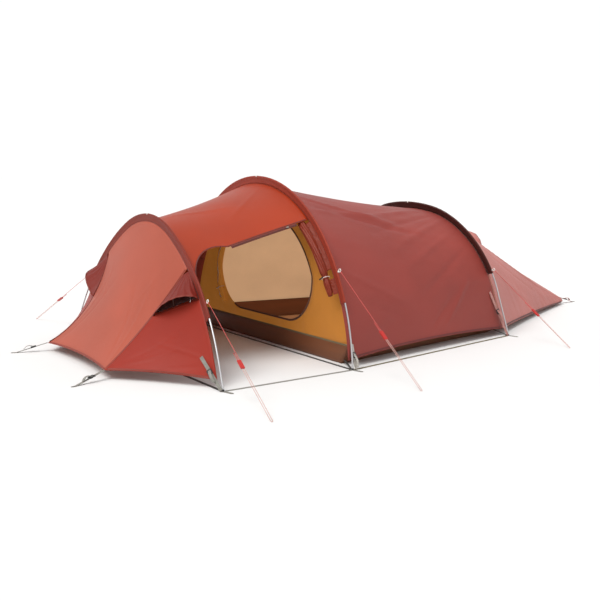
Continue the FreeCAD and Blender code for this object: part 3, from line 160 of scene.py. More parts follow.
def surface_place(tree):
    """Cloth coordinates in metres: along and across the piece, as it was cut."""
    return place(tree, "ShaderNodeUVMap", {"uv_map": "cut"})


def solid_place(tree):
    """Place in the tent's own frame, in metres."""
    return place(tree, "ShaderNodeTexCoord", out=3)


def cloudy(tree, where, scale, detail=3.0, stretch=(1.0, 1.0, 1.0)):
    """Soft noise from 0 to 1 with its size and its stretch."""
    moved = place(tree, "ShaderNodeVectorMath", {"operation": "MULTIPLY"}, {0: where, 1: stretch})
    return place(tree, "ShaderNodeTexNoise", {}, {"Vector": moved, "Scale": scale, "Detail": detail})


def shade(colour, amount):
    return tuple(min(1.0, c * amount) for c in colour)


def srgb(red, green, blue):
    """Linear colour from display values of 0 to 255."""
    parts = [c / 255 for c in (red, green, blue)]
    return tuple(c / 12.92 if c <= 0.04045 else ((c + 0.055) / 1.055) ** 2.4 for c in parts)


print("finish helper ready")


# %% [markdown]
# ## Tent cloth
# Tent fabric is thin coated nylon: smooth from afar, with a fine square grid of
# thicker threads close up. It shines softly where light grazes it. The grid comes
# from sines of the cut coordinates, so it follows the cloth round every curve.
# Long soft noise gives the slight change of colour that stretched cloth has, and a
# second noise, drawn out along the cloth, gives fine tension ripples in the bump.

# %% Cloth finishes
def cloth_finish(name, colour, grid=0.0055, ripple=0.9, edge=0.80, rough=0.52, painted_glow=0.0):
    """Coated ripstop nylon in one colour, lighter and darker by edge; it can also give off its own colour as painted
    light.
    """

    def build(tree):
        cut = surface_place(tree)
        u, v, _ = cut.split()
        threads = (u * (math.tau / grid)).sine() ** 16 + (v * (math.tau / grid)).sine() ** 16
        weave = (u * (math.tau / 0.0011)).sine() * (v * (math.tau / 0.0011)).sine()
        clouds = cloudy(tree, cut, 2.1, 4.0)
        pulls = cloudy(tree, cut, 9.0, 5.0, (0.35, 1.0, 1.0))
        dust = cloudy(tree, cut, 60.0, 2.0)
        tone = blend_colours(tree, (clouds * 1.6 - 0.3).limited(), shade(colour, edge), shade(colour, 1.10))
        tone = blend_colours(tree, (threads * 0.10).limited(), tone, shade(colour, 0.55))
        tone = blend_colours(tree, dust.above(0.66) * 0.05, tone, shade(colour, 1.5))
        height = threads * 0.10 + weave * 0.03 + pulls * ripple
        made = {"Base Color": tone, "Roughness": rough + (clouds - 0.5) * 0.16 - threads * 0.05,
                "Height": (height, 0.0022)}
        # Painted light: the cloth gives off its own colour, standing in for daylight that shines through the fly and
        # the cloth.
        if painted_glow:
            made["Emission Color"] = tone
        return made

    return finish(name, build, Sheen_Weight=0.05, Sheen_Roughness=0.4, Coat_Weight=0.06,
                  Coat_Roughness=0.35, Emission_Strength=painted_glow, Specular_IOR_Level=0.24)


RED = cloth_finish("porch cloth, orange red", srgb(160, 50, 11), rough=0.42)
FRONT_RED = cloth_finish("front cloth, salmon", srgb(168, 80, 60))
MAUVE = cloth_finish("body cloth, mauve red", srgb(146, 60, 52), ripple=2.2)
PINK = cloth_finish("tail cloth, pink", srgb(190, 112, 104), ripple=2.0)
# The side panels are drawn darker than the front cloth: painted shade of the sides turned away from the light.
SIDE_RED_SHADED = cloth_finish("side panel cloth, brick red in painted shade", srgb(146, 36, 17))
HOOD_RED = cloth_finish("vent hood cloth, salmon red", srgb(118, 28, 13), ripple=1.4)
ROLL_RED = cloth_finish("rolled door cloth, dark red", srgb(126, 42, 20), ripple=1.8)
SLEEVE_MAUVE = cloth_finish("sleeve cloth, dark mauve", srgb(146, 50, 30), ripple=1.6, rough=0.6)
# The rear sleeve is drawn dark brown as painted shade, for its side turned from the light.
SLEEVE_SHADED = cloth_finish("sleeve cloth, brown red in painted shade", srgb(70, 28, 22), ripple=1.6, rough=0.6)
SLEEVE_FRONT = cloth_finish("sleeve cloth, brick red", srgb(122, 38, 22), ripple=1.6, rough=0.6)
# The inner cloth glows as painted light, standing in for daylight through the fly and the thin cloth. The pale
# canopy glows most.
YELLOW = cloth_finish("inner cloth, yellow, glowing as painted light", srgb(168, 108, 42), ripple=2.4, rough=0.7, painted_glow=0.42)
BEIGE = cloth_finish("inner cloth, pale, glowing as painted light", srgb(193, 160, 124), ripple=1.8, rough=0.72, painted_glow=0.72)
print("cloth finishes ready")


# %% [markdown]
# ## Floor cloth and mosquito net
# The ground sheet is heavier cloth with a shiny waterproof coating. Its folds run
# lengthwise because it was packed that way, and the light and shade along them is
# painted into its colour, striped along the tent. The vent net is real holes: a
# square lattice from two sines decides where the surface is there at all, through
# the shader's Alpha.

# %% Floor and net finishes
def floor_finish(name, colour):
    def build(tree):
        cut = surface_place(tree)
        u, v, _ = cut.split()
        fold_shading_bands = cloudy(tree, cut, 7.0, 3.0, (0.10, 1.6, 1.0))
        creases = cloudy(tree, cut, 16.0, 4.0, (0.2, 1.0, 1.0))
        weave = (u * (math.tau / 0.0016)).sine() * (v * (math.tau / 0.0016)).sine()
        # Painted light and shade: lighter and darker bands along the packing folds, in the colour.
        tone = blend_colours(tree, (fold_shading_bands * 2.2 - 0.6).limited(), shade(colour, 0.62), shade(colour, 1.35))
        return {"Base Color": tone, "Roughness": 0.42 + fold_shading_bands * 0.2,
                "Height": (creases * 1.4 + weave * 0.05, 0.004)}

    return finish(name, build, Coat_Weight=0.15, Coat_Roughness=0.3)


def net_finish(name, colour):
    def build(tree):
        cut = surface_place(tree)
        u, v, _ = cut.split()
        bars = (u * (math.pi / 0.0016)).sine().absolute(), (v * (math.pi / 0.0016)).sine().absolute()
        holes = bars[0].above(0.42) * bars[1].above(0.42)
        tone = blend_colours(tree, cloudy(tree, cut, 30.0), shade(colour, 0.7), shade(colour, 1.3))
        return {"Base Color": tone, "Alpha": 1 - holes * 0.75, "Roughness": 0.7 + bars[0] * 0.1}

    return finish(name, build)


# The ground sheet is drawn far paler than its brown cloth, as painted light to make up for the little light inside
# the tent.
FLOOR_CLOTH = floor_finish("ground sheet cloth, brown, lightened as painted light", srgb(196, 166, 142))
TUB_CLOTH = floor_finish("ground sheet wall, dark brown", srgb(116, 66, 34))
NET = net_finish("mosquito net, dark", srgb(48, 26, 24))
print("floor and net finishes ready")


# %% [markdown]
# ## Webbing, cord and elastic
# Webbing is woven flat: diagonal ribs cross its width, and its two edges are
# rounded and darker. Cord has strands that wind round it. Both patterns are sines
# again. Webbing takes them along its cut coordinates, and cord takes them in the
# tent's frame because a curve has no cut.

# %% Webbing and cord finishes
def webbing_finish(name, colour, rib=0.0022, lift=1.0):
    def build(tree):
        cut = surface_place(tree)
        u, v, _ = cut.split()
        ribs = ((u + v.absolute() * 0.7) * (math.tau / rib)).sine()
        cross = (v * (math.tau / 0.0018)).sine()
        worn = cloudy(tree, cut, 45.0, 4.0)
        tone = blend_colours(tree, (ribs * 0.35 + worn * 0.8).limited(), shade(colour, 0.66), shade(colour, 1.25))
        return {"Base Color": tone, "Roughness": 0.72 + worn * 0.15,
                "Height": (ribs * 0.5 * lift + cross * 0.2, 0.0012)}

    return finish(name, build, Sheen_Weight=0.15)


def cord_finish(name, colour, fleck, below=None, low_colour=None):
    """Braided cord; under the height below it shows its paler, washed stretch."""

    def build(tree):
        where = solid_place(tree)
        x, y, z = where.split()
        wind = ((x + y + z * 1.7) * (math.tau / 0.0042)).sine() * ((x - y + z * 0.6) * (math.tau / 0.0042)).sine()
        tone = blend_colours(tree, wind.above(0.35) * 0.6, colour, fleck)
        if below is not None:
            pale = blend_colours(tree, wind.above(0.3) * 0.5, low_colour, shade(low_colour, 0.7))
            tone = blend_colours(tree, z.above(below), pale, tone)
        return {"Base Color": tone, "Roughness": 0.75 - wind.absolute() * 0.1, "Height": (wind, 0.0006)}

    return finish(name, build, Sheen_Weight=0.2)


WEB_GREY = webbing_finish("webbing, grey", srgb(140, 138, 130))
WEB_LIGHT = webbing_finish("webbing, light grey", srgb(196, 190, 180))
WEB_PINK = webbing_finish("webbing, pink", srgb(190, 132, 124))
WEB_BLACK = webbing_finish("webbing, black", srgb(44, 42, 40))
WEB_OLIVE = webbing_finish("edge tape, olive", srgb(112, 100, 66))
WEB_WHITE = webbing_finish("edge tape, white", srgb(226, 220, 212))
WEB_RED = webbing_finish("edge tape, red", srgb(168, 52, 46))
ELASTIC = cord_finish("elastic cord, white and pink", srgb(228, 214, 208), srgb(190, 90, 84))
CORD_BLACK = cord_finish("stretch cord, black", srgb(40, 38, 38), srgb(120, 110, 108))
print("webbing and cord finishes ready")


# %% [markdown]
# ## Metal and plastic
# The poles are anodised aluminium tube: bright, with fine lines along their length
# from drawing. Tips, buckles and adjusters are moulded plastic with a very fine
# grain, slightly paler where they rub. The peg eyelets are plated steel.

# %% Metal and plastic finishes
def metal_finish(name, colour, rough=0.3, lines=True):
    def build(tree):
        where = solid_place(tree)
        x, y, z = where.split()
        drawn = cloudy(tree, where, 420.0, 2.0, (1.0, 1.0, 0.06) if lines else (1.0, 1.0, 1.0))
        rubbed = cloudy(tree, where, 14.0, 3.0)
        tone = blend_colours(tree, (rubbed * 1.4 - 0.2).limited(), shade(colour, 0.82), shade(colour, 1.06))
        return {"Base Color": tone, "Roughness": rough + drawn * 0.14 + rubbed * 0.06,
                "Height": (drawn, 0.0003)}

    return finish(name, build, Metallic=1.0)


def plastic_finish(name, colour, rough=0.45):
    def build(tree):
        where = solid_place(tree)
        grain = cloudy(tree, where, 900.0, 2.0)
        scuffs = cloudy(tree, where, 120.0, 4.0, (1.0, 0.3, 1.0))
        tone = blend_colours(tree, scuffs.above(0.62) * 0.35, colour, shade(colour, 1.7))
        return {"Base Color": tone, "Roughness": rough + scuffs * 0.2, "Height": (grain, 0.0004)}

    return finish(name, build, Specular_IOR_Level=0.5)


POLE_METAL = metal_finish("pole tube, silver", srgb(206, 206, 208))
STEEL = metal_finish("eyelet steel", srgb(196, 194, 190), 0.22, False)
ZIP_METAL = metal_finish("zip slider metal", srgb(168, 160, 152), 0.28, False)
BLACK_PLASTIC = plastic_finish("buckle plastic, black", srgb(34, 34, 36))
RED_PLASTIC = plastic_finish("adjuster plastic, red", srgb(178, 32, 26), 0.35)
WHITE_PLASTIC = plastic_finish("ring plastic, white", srgb(228, 224, 220), 0.4)
DARK_ROD = plastic_finish("vent strut, dark", srgb(60, 42, 38), 0.5)
TEETH = plastic_finish("zip coil, brown", srgb(92, 52, 34), 0.4)
TEETH_DARK = plastic_finish("zip coil, dark red", srgb(72, 26, 24), 0.4)
THREAD = plastic_finish("sewing thread, dark", srgb(84, 34, 30), 0.8)
print(len(bpy.data.materials), "finishes in all")


# %% [markdown]
# ## Finishes of the hard parts
# The poles, tips, eyelets, buckles, adjusters, rings, toggles and sliders keep the
# shapes they have in the frame. Each gets its finish, and a small bevel where its
# edges would otherwise be sharper than moulded or pressed parts are.

# %% Hard parts
HARD = {name: finish_of for finish_of, names in (
    (POLE_METAL, "pole_front pole_mid pole_rear pole_inserts"), (CORD_BLACK, "shock_cords"),
    (BLACK_PLASTIC, "pole_tips foot_buckles end_buckles porch_door_toggle"), (STEEL, "peg_eyelets"),
    (WHITE_PLASTIC, "guy_rings inner_door_toggle"), (ZIP_METAL, "fly_zip_slider inner_zip_slider"),
    (DARK_ROD, "vent_strut_near vent_strut_far vent_strut_rear"),
    (RED_PLASTIC, "adjuster_front_near adjuster_front_far adjuster_mid_near adjuster_mid_far "
                  "adjuster_rear_near adjuster_rear_far")) for name in names.split()}
BEVELS = {"foot_buckles": 1.1, "end_buckles": 1.1, "fly_zip_slider": 0.9, "inner_zip_slider": 0.9,
          "porch_door_toggle": 1.4, "inner_door_toggle": 1.4, "peg_eyelets": 0.6}


def round_edges(obj, width):
    bevel = obj.modifiers.new("softened edges", "BEVEL")
    bevel.width = width / 1000
    bevel.segments = 3
    bevel.limit_method = "ANGLE"
    bevel.angle_limit = math.radians(35)
    bevel.harden_normals = False


for node_name, material in HARD.items():
    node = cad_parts[node_name]
    for slot_place in node.material_slots:
        slot_place.material = material
    width = BEVELS.get(node_name, 1.8 if node_name.startswith("adjuster") else 0)
    if width:
        round_edges(node, width)
print(len(HARD), "hard parts finished")


# %% [markdown]
# ## The three hoops
# Each pole is bent into a basket-handle arch: a straight leg, a tight shoulder arc
# and a wide crown arc, mirrored. Everything sewn to the poles is placed by a
# distance along the arch and an inset towards its inside, so this small class is
# the pattern maker's tape for the whole tent. Sizes are metres and degrees.

# %% Hoops
def last_where(test, low, high, steps=40):
    """Bisection: the last number between low and high that still passes the test."""
    for _ in range(steps):
        middle = (low + high) / 2
        if test(middle):
            low = middle
        else:
            high = middle
    return low


class Hoop:
    """Arch in a tilted plane, measured along its run from the near foot to the far one."""

    def __init__(self, foot_x, width, height, tilt, lean, leg, shoulder):
        tilt = math.radians(tilt)
        self.foot_x = foot_x
        self.up = Vector((math.sin(tilt), 0, math.cos(tilt)))
        self.normal = Vector((math.cos(tilt), 0, -math.sin(tilt)))
        self.half, self.leg, self.lean = width / 2, leg, math.radians(lean)
        self.turned = self.lean + math.radians(shoulder)
        a = math.cos(self.lean) - math.cos(self.turned)
        b = math.cos(self.turned)
        c = math.sin(self.turned) - math.sin(self.lean)
        e = 1 - math.sin(self.turned)
        across = self.half - leg * math.sin(self.lean)
        rise = height - leg * math.cos(self.lean)
        det = a * e - b * c
        self.shoulder_radius = (across * e - b * rise) / det
        self.crown_radius = (a * rise - across * c) / det
        self.shoulder_end = leg + self.shoulder_radius * (self.turned - self.lean)
        self.total = 2 * self.shoulder_end + self.crown_radius * (math.pi - 2 * self.turned)

    def flat(self, run, inset):
        far = run > self.total / 2
        if far:
            run = self.total - run
        angle = self.lean
        if run > self.leg:
            angle += (min(run, self.shoulder_end) - self.leg) / self.shoulder_radius
        if run > self.shoulder_end:
            angle += (run - self.shoulder_end) / self.crown_radius
        leg = min(run, self.leg)
        across = -self.half + leg * math.sin(self.lean)
        rise = leg * math.cos(self.lean)
        if run > self.leg:
            end = min(angle, self.turned)
            across += self.shoulder_radius * (math.cos(self.lean) - math.cos(end))
            rise += self.shoulder_radius * (math.sin(end) - math.sin(self.lean))
        if run > self.shoulder_end:
            across += self.crown_radius * (math.cos(self.turned) - math.cos(angle))
            rise += self.crown_radius * (math.sin(angle) - math.sin(self.turned))
        across += inset * math.cos(angle)
        rise -= inset * math.sin(angle)
        return (-across if far else across), rise

    def point(self, run, inset=0.0, beside=0.0):
        across, rise = self.flat(run, inset)
        return Vector((self.foot_x, across, 0)) + self.up * rise + self.normal * beside

    def inward(self, run):
        return (self.point(run, 0.001) - self.point(run)) * 1000

    def run_at(self, height, inset=0.0):
        """Run on the near side where the arch, or a line inset from it, reaches a height."""
        return last_where(lambda run: self.point(run, inset).z < height, 0.0, self.total / 2)


FLOOR_FRONT = -1.145
MID_X = -1.190
FRONT_X = -2.034
REAR_X = 0.311
TAIL_X = 1.711
NOSE_X = -2.434
FRONT = Hoop(FRONT_X, 2.092, 0.852, 5.7, 26.9, 0.138, 38.3)
MID = Hoop(MID_X, 2.039, 1.063, 0.0, 6.0, 0.079, 32.7)
REAR = Hoop(REAR_X, 1.547, 0.905, -15.5, 5.8, 0.340, 74.0)
HOOPS = {"front": FRONT, "mid": MID, "rear": REAR}
DEPTH = 0.040
SIDES = {"near": 1, "far": -1}
BESIDE = 0.0018
CLOTH = 0.002
HEM = 0.045
UP = Vector((0, 0, 1))
FORWARD = Vector((1, 0, 0))
print("hoop lengths", [round(hoop.total, 3) for hoop in HOOPS.values()])


# %% Helpers for points
def mix(one, other, share):
    return one * (1 - share) + other * share


def smooth_step(low, high, value):
    share = min(1.0, max(0.0, (value - low) / (high - low)))
    return share * share * (3 - 2 * share)


def ripple_at(u, v, seed=0.0):
    """Smooth pseudo-random number from -1 to 1 that is the same on every run."""
    return noise.noise(Vector((u, v, seed)))


def hem_runs(hoop):
    low = hoop.run_at(HEM, DEPTH)
    return low, hoop.total - low


# %% [markdown]
# ## A sheet of cloth
# Every panel is one grid of points on a surface, u one way and v the other, made
# into a mesh with its cut coordinates in metres, and given a thickness by the
# Solidify modifier. Panels that cover a CAD panel ride on the tent's body and stand
# for that panel. A relief function moves points in and out for folds and pulls.

# %% Sheet helper
def new_mesh(name, verts, faces, material, uvs=None, smooth=True):
    mesh = bpy.data.meshes.new(name)
    mesh.from_pydata([tuple(v) for v in verts], [], faces)
    if uvs is not None:
        layer = mesh.uv_layers.new(name="cut")
        for loop in mesh.loops:
            layer.data[loop.index].uv = uvs[loop.vertex_index]
    mesh.polygons.foreach_set("use_smooth", [smooth] * len(mesh.polygons))
    mesh.materials.append(material)
    return in_scene(name, mesh)


def grid_faces(rows, columns, first=0, round_rows=False, round_columns=False, keep=None):
    """Four-sided faces between rows of points; a round direction joins its end to its start."""
    faces = []
    for i in range(rows - 1 + round_rows):
        for k in range(columns - 1 + round_columns):
            if keep and not keep(i, k):
                continue
            here, ahead = first + i * columns, first + (i + 1) % rows * columns
            beside = (k + 1) % columns
            faces.append((here + k, here + beside, ahead + beside, ahead + k))
    return faces


def face_towards(obj, way, index=0):
    """Turn a mesh over if one of its faces looks against way."""
    if obj.data.polygons[index].normal.dot(way) < 0:
        obj.data.flip_normals()


def settle(obj, replaces=(), body="tent"):
    """Ride on a body and stand for frame nodes, which it hides."""
    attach(obj, body)
    if replaces:
        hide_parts(*replaces)
    return obj


def travelled(points):
    """Distance from the first point to each point, along them all."""
    lengths = [0.0]
    for one, other in zip(points, points[1:]):
        lengths.append(lengths[-1] + (other - one).length)
    return lengths


def thicken(obj, thick, offset=-1.0):
    modifier = obj.modifiers.new("thickness", "SOLIDIFY")
    modifier.thickness = thick
    modifier.offset = offset
    modifier.use_even_offset = False


def panel(name, point, nu, nv, material, thick=0.0016, relief=None, outward=None, hole=None, replaces=(),
          body="tent"):
    """Cloth panel from point(u, v); outward(u, v) is the way its relief and thickness face."""
    grid = []
    for i in range(nu + 1):
        row = []
        for j in range(nv + 1):
            u, v = i / nu, j / nv
            here = point(u, v)
            if relief:
                here = here + outward(u, v) * relief(u, v)
            row.append(here)
        grid.append(row)
    lengths_u = travelled([row[nv // 2] for row in grid])
    lengths_v = travelled(grid[nu // 2])
    uvs = [(length, across) for length in lengths_u for across in lengths_v]
    keep = (lambda i, j: not hole((i + 0.5) / nu, (j + 0.5) / nv)) if hole else None
    faces = grid_faces(nu + 1, nv + 1, keep=keep)
    obj = new_mesh(name, [p for row in grid for p in row], faces, material, uvs)
    centre = min(obj.data.polygons, key=lambda face: (face.center - point(0.5, 0.5)).length)
    face_towards(obj, outward(0.5, 0.5), centre.index)
    thicken(obj, thick)
    settle(obj, replaces, body)
    print("%s: %.2f by %.2f m, %d faces" % (name, lengths_u[-1], lengths_v[-1], len(faces)))
    return obj


# %% [markdown]
# ## Guy lines
# Six cords hold the hoops upright. Each runs taut from a ring on its sleeve to the
# peg place on the ground, turns round it and comes back up to a sliding adjuster,
# where its free end stands out a little and ends in a knot. One NURBS spline
# follows the route's corners, with an extra point on each side of the turn, about
# six diameters away, so that the long runs stay straight.

# %% Guy lines
CORD = 0.0028
KNOT_SEAT = 0.0113
FREE_END = 0.060
RINGS = {"front": 0.413, "mid": 0.537, "rear": 0.445}
PEG_OUT = {"front": 0.606, "mid": 0.577, "rear": 0.510}
PEG_AHEAD = {"front": -0.084, "mid": 0.006, "rear": 0.010}
ADJUSTER_AT, HALF_ADJUSTER = 0.56, 0.031
RING_AWAY = 0.010 + 0.011 + 0.0006
TURN = 0.005
TURN_LEAD = 0.011
SKIN = 0.00475 + 0.0006 + 0.0014


def toe(hoop, side):
    foot = hoop.point(hoop.run_at(0.0071))
    return Vector((foot.x, foot.y * SIDES[side], 0))


def mirrored_point(p, side):
    return Vector((p.x, p.y * SIDES[side], p.z))


def ring_place(hoop_name, side):
    """Where a guy line leaves a hoop, and the way out from there."""
    hoop = HOOPS[hoop_name]
    run = hoop.run_at(RINGS[hoop_name])
    out = mirrored_point(hoop.point(run), side)
    return out, (out - mirrored_point(hoop.point(run, 0.001), side)).normalized()


def cord_spline(name, points, diameter, material):
    curve = bpy.data.curves.new(name, "CURVE")
    curve.dimensions = "3D"
    curve.bevel_depth = diameter / 2
    curve.bevel_resolution = 4
    curve.resolution_u = 10
    spline = curve.splines.new("NURBS")
    spline.points.add(len(points) - 1)
    for control, p in zip(spline.points, points):
        control.co = (*p, 1.0)
    spline.order_u = 3
    spline.use_endpoint_u = True
    curve.materials.append(material)
    return in_scene(name, curve)


def knot(name, centre, axis, radius, material, turns=2.4):
    """Overhand knot: a tube wound round the cord's end in a small closed bundle."""
    axis = axis.normalized()
    side = axis.orthogonal().normalized()
    other = axis.cross(side)
    verts = []
    rings, around = 42, 8
    for i in range(rings + 1):
        t = i / rings
        angle = t * turns * math.tau
        swell = math.sin(math.pi * t) ** 0.5
        out = side * math.cos(angle) + other * math.sin(angle)
        core = centre + axis * (t - 0.5) * radius * 3.2 + out * radius * swell
        for k in range(around):
            a = k / around * math.tau
            verts.append(core + (out * math.cos(a) + axis * math.sin(a)) * radius * 0.72)
    faces = grid_faces(rings + 1, around, round_columns=True)
    faces += [tuple(reversed(range(around))), tuple(range(rings * around, (rings + 1) * around))]
    return settle(new_mesh(name, verts, faces, material, [(0, 0)] * len(verts)))


def guy_line(hoop_name, side):
    out, outward = ring_place(hoop_name, side)
    centre = out + outward * (SKIN + RING_AWAY)
    peg = toe(HOOPS[hoop_name], side) + Vector((PEG_AHEAD[hoop_name], -SIDES[side] * PEG_OUT[hoop_name], 0.0045))
    way = (peg - centre).normalized()
    beside = way.cross(UP).normalized()
    start = centre + way * KNOT_SEAT
    back = peg + beside * 2 * TURN
    whole = (peg - start).length
    free_end = back - way * (whole * (1 - ADJUSTER_AT) + HALF_ADJUSTER + FREE_END)
    corner, lead = way * TURN, -way * TURN_LEAD
    route = [start, peg + lead, peg + corner, back + corner, back + lead, free_end]
    name = "guy_line_%s_%s" % (hoop_name, side)
    red_above = mix(start, peg, ADJUSTER_AT).z + 0.01
    line_finish = cord_finish("guy cord, %s %s" % (hoop_name, side), srgb(196, 44, 40), srgb(232, 150, 140),
                              red_above, srgb(206, 160, 150))
    line = cord_spline("cord_" + name, route, CORD, line_finish)
    settle(line, [name])
    top_knot = knot("ring_knot_%s_%s" % (hoop_name, side), start + way * 0.004, way, 0.0021, line_finish)
    end_knot = knot("end_knot_%s_%s" % (hoop_name, side), free_end + way * 0.002, way, 0.0019, line_finish, 1.8)


for hoop_name in HOOPS:
    for side_name in SIDES:
        guy_line(hoop_name, side_name)


# %% [markdown]
# ## Fly cloth over the body
# Between the middle and rear poles the fly is a wide saddle, pulled inwards between
# the hoops. It is never quite smooth: pulls start at the poles' shoulders and run
# down towards the far hem, and long shallow waves lie along it. They are drawn as
# ridges, each with a line it follows, a width and a height, so they can be placed.

# %% Folds
def ridge(u, v, start, end, width, height):
    """Height of one pulled fold that runs between two places and fades at both ends."""
    du, dv = end[0] - start[0], end[1] - start[1]
    length = du * du + dv * dv
    share = ((u - start[0]) * du + (v - start[1]) * dv) / length
    if share < 0 or share > 1:
        return 0.0
    off = abs((u - start[0]) * dv - (v - start[1]) * du) / math.sqrt(length)
    width = width * (0.35 + 0.65 * share)
    return height * math.exp(-(off / width) ** 2) * math.sin(math.pi * share) ** 0.7


def pulls(u, v, folds):
    return 1.9 * sum(ridge(u, v, *fold) for fold in folds)


def edge_calm(u, v, margin=0.04):
    """Nought at a sheet's sewn edges and one inside it."""
    return (smooth_step(0, margin, u) * smooth_step(0, margin, 1 - u)
            * smooth_step(0, margin, v) * smooth_step(0, margin, 1 - v))


def span(one, other, sag, hem_rise=0.0):
    ones, others = hem_runs(one), hem_runs(other)

    def inward(u, v):
        return mix(one.inward(mix(*ones, v)), other.inward(mix(*others, v)), u).normalized()

    def point(u, v):
        start = one.point(mix(*ones, v), DEPTH, BESIDE)
        end = other.point(mix(*others, v), DEPTH, -BESIDE)
        hollow = 4 * u * (1 - u)
        here = mix(start, end, u) + inward(u, v) * sag * hollow * (0.4 + 0.6 * math.sin(math.pi * v))
        here.z += hem_rise * hollow * abs(2 * v - 1) ** 6
        return here

    return point, inward


porch_point, porch_inward = span(FRONT, MID, 0.020)
body_point, body_inward = span(MID, REAR, 0.026, 0.025)
BODY_FOLDS = [
    ((0.02, 0.40), (0.62, 0.30), 0.012, 0.0042), ((0.03, 0.36), (0.70, 0.27), 0.010, -0.0030),
    ((0.02, 0.33), (0.55, 0.34), 0.012, 0.0030), ((0.98, 0.42), (0.40, 0.33), 0.014, 0.0044),
    ((0.98, 0.38), (0.35, 0.27), 0.012, -0.0036), ((0.99, 0.35), (0.42, 0.22), 0.012, 0.0036),
    ((0.98, 0.30), (0.45, 0.17), 0.010, 0.0028), ((0.97, 0.24), (0.5, 0.10), 0.012, -0.0024),
    ((0.02, 0.18), (0.45, 0.08), 0.012, 0.0026), ((0.02, 0.13), (0.40, 0.05), 0.010, -0.0022),
    ((0.60, 0.02), (0.85, 0.14), 0.008, 0.0034), ((0.50, 0.02), (0.72, 0.10), 0.007, -0.0026),
    ((0.02, 0.60), (0.60, 0.70), 0.012, 0.0040), ((0.98, 0.60), (0.40, 0.72), 0.014, 0.0042),
    ((0.98, 0.68), (0.45, 0.84), 0.012, 0.0034), ((0.02, 0.82), (0.5, 0.93), 0.012, 0.0030),
]


def body_relief(u, v):
    wave = 0.0030 * ripple_at(u * 3.0 + 7, v * 9.0) + 0.0012 * ripple_at(u * 6.0, v * 40.0, 3.0)
    small = 0.0007 * ripple_at(u * 5.0, v * 90.0, 8.0) * smooth_step(0.05, 0.2, 0.42 - abs(v - 0.25))
    return (1.5 * pulls(u, v, BODY_FOLDS) + 1.4 * wave + small) * edge_calm(u, v) - 0.0005


def outward_of(inward):
    return lambda u, v: -inward(u, v)


def always(way):
    return lambda u, v: way


# %% Body panel
panel("cloth_fly_body", body_point, 84, 150, MAUVE, relief=body_relief,
      outward=outward_of(body_inward), replaces=["fly_body"])


# %% [markdown]
# ## Porch roof with its doorway
# The porch roof is the smoothest cloth: tight between the front and middle poles.
# On the door side it is cut away along the doorway, a sloping top edge that turns
# down in a round corner beside the front pole. Each column of the grid starts where
# it crosses that outline, so the cut edge is a clean line of points.

# %% Porch roof
DOOR_TOP_REAR, DOOR_TOP_FRONT, DOOR_TURN = 0.822, 0.680, 0.510
TOP_SLOPE = (DOOR_TOP_REAR - DOOR_TOP_FRONT) / DOOR_TURN
TURN_X = MID_X - DOOR_TURN
SIDE_X, SIDE_Z = FRONT_X + 0.066, 0.490
LOW_X, LOW_Z = FRONT_X + 0.034, 0.345
CORNER = (-1.7328, 0.4421, 0.2402)


def doorway_height(x):
    """Height of the porch doorway's outline at an x along the tent."""
    if x >= TURN_X:
        return DOOR_TOP_FRONT + TOP_SLOPE * (x - TURN_X)
    if x >= SIDE_X:
        return CORNER[1] + math.sqrt(max(0.0, CORNER[2] ** 2 - (x - CORNER[0]) ** 2))
    if x >= LOW_X:
        return mix(LOW_Z, SIDE_Z, (x - LOW_X) / (SIDE_X - LOW_X))
    return LOW_Z


def doorway_share(u):
    """Share round the arch where a column of the porch roof meets the doorway's outline."""
    def below(v):
        here = porch_point(u, v)
        return here.z < doorway_height(here.x)

    return last_where(below, 0.0, 0.5)


PORCH_COLUMNS = 56
DOOR_EDGE = [doorway_share(i / PORCH_COLUMNS) for i in range(PORCH_COLUMNS + 1)]


def door_edge(u):
    place_here = min(u, 1.0) * PORCH_COLUMNS
    first = min(PORCH_COLUMNS - 1, int(place_here))
    return mix(DOOR_EDGE[first], DOOR_EDGE[first + 1], place_here - first)


def roof_point(u, v):
    return porch_point(u, mix(door_edge(u), 1.0, v))


def roof_inward(u, v):
    return porch_inward(u, mix(door_edge(u), 1.0, v))


ROOF_FOLDS = [((0.02, 0.30), (0.60, 0.18), 0.012, 0.0020), ((0.98, 0.25), (0.45, 0.10), 0.012, 0.0022),
              ((0.02, 0.75), (0.55, 0.88), 0.014, 0.0032), ((0.98, 0.70), (0.5, 0.90), 0.014, 0.0030)]


def roof_relief(u, v):
    wave = 0.0014 * ripple_at(u * 2.5, v * 8.0, 2.0)
    return (pulls(u, v, ROOF_FOLDS) + wave) * edge_calm(u, v) - 0.0004


panel("cloth_fly_porch", roof_point, PORCH_COLUMNS, 110, RED, relief=roof_relief,
      outward=outward_of(roof_inward), replaces=["fly_porch"])


# %% [markdown]
# ## Front end
# The front end is three panels: a wide middle one that slopes from the front pole
# down to two corners, and a side panel each way from its seams to the pole's legs.
# Each corner is pulled forward by a strap, so the cloth is hollow between them, and
# a few pulls fan out from the corners.

# %% Front panels
SEAM_RUN = FRONT.total * 0.275
BRIM_RUN = FRONT.run_at(0.432, DEPTH)
VENT_SHARE = 0.42


def nose_point(u, v):
    start = FRONT.point(mix(SEAM_RUN, FRONT.total - SEAM_RUN, v), DEPTH, -BESIDE)
    across = 2 * v - 1
    bow = 1 - across ** 2
    end = Vector((NOSE_X + 0.025 * bow, 0.456 * across, 0.052 + 0.012 * bow))
    hollow = 4 * u * (1 - u)
    sag = mix(0.060, 0.055, across ** 2)
    here = mix(start, end, u) + Vector((0.6, 0, -0.8)) * sag * hollow
    here.y -= 0.075 * across ** 3 * hollow
    return here


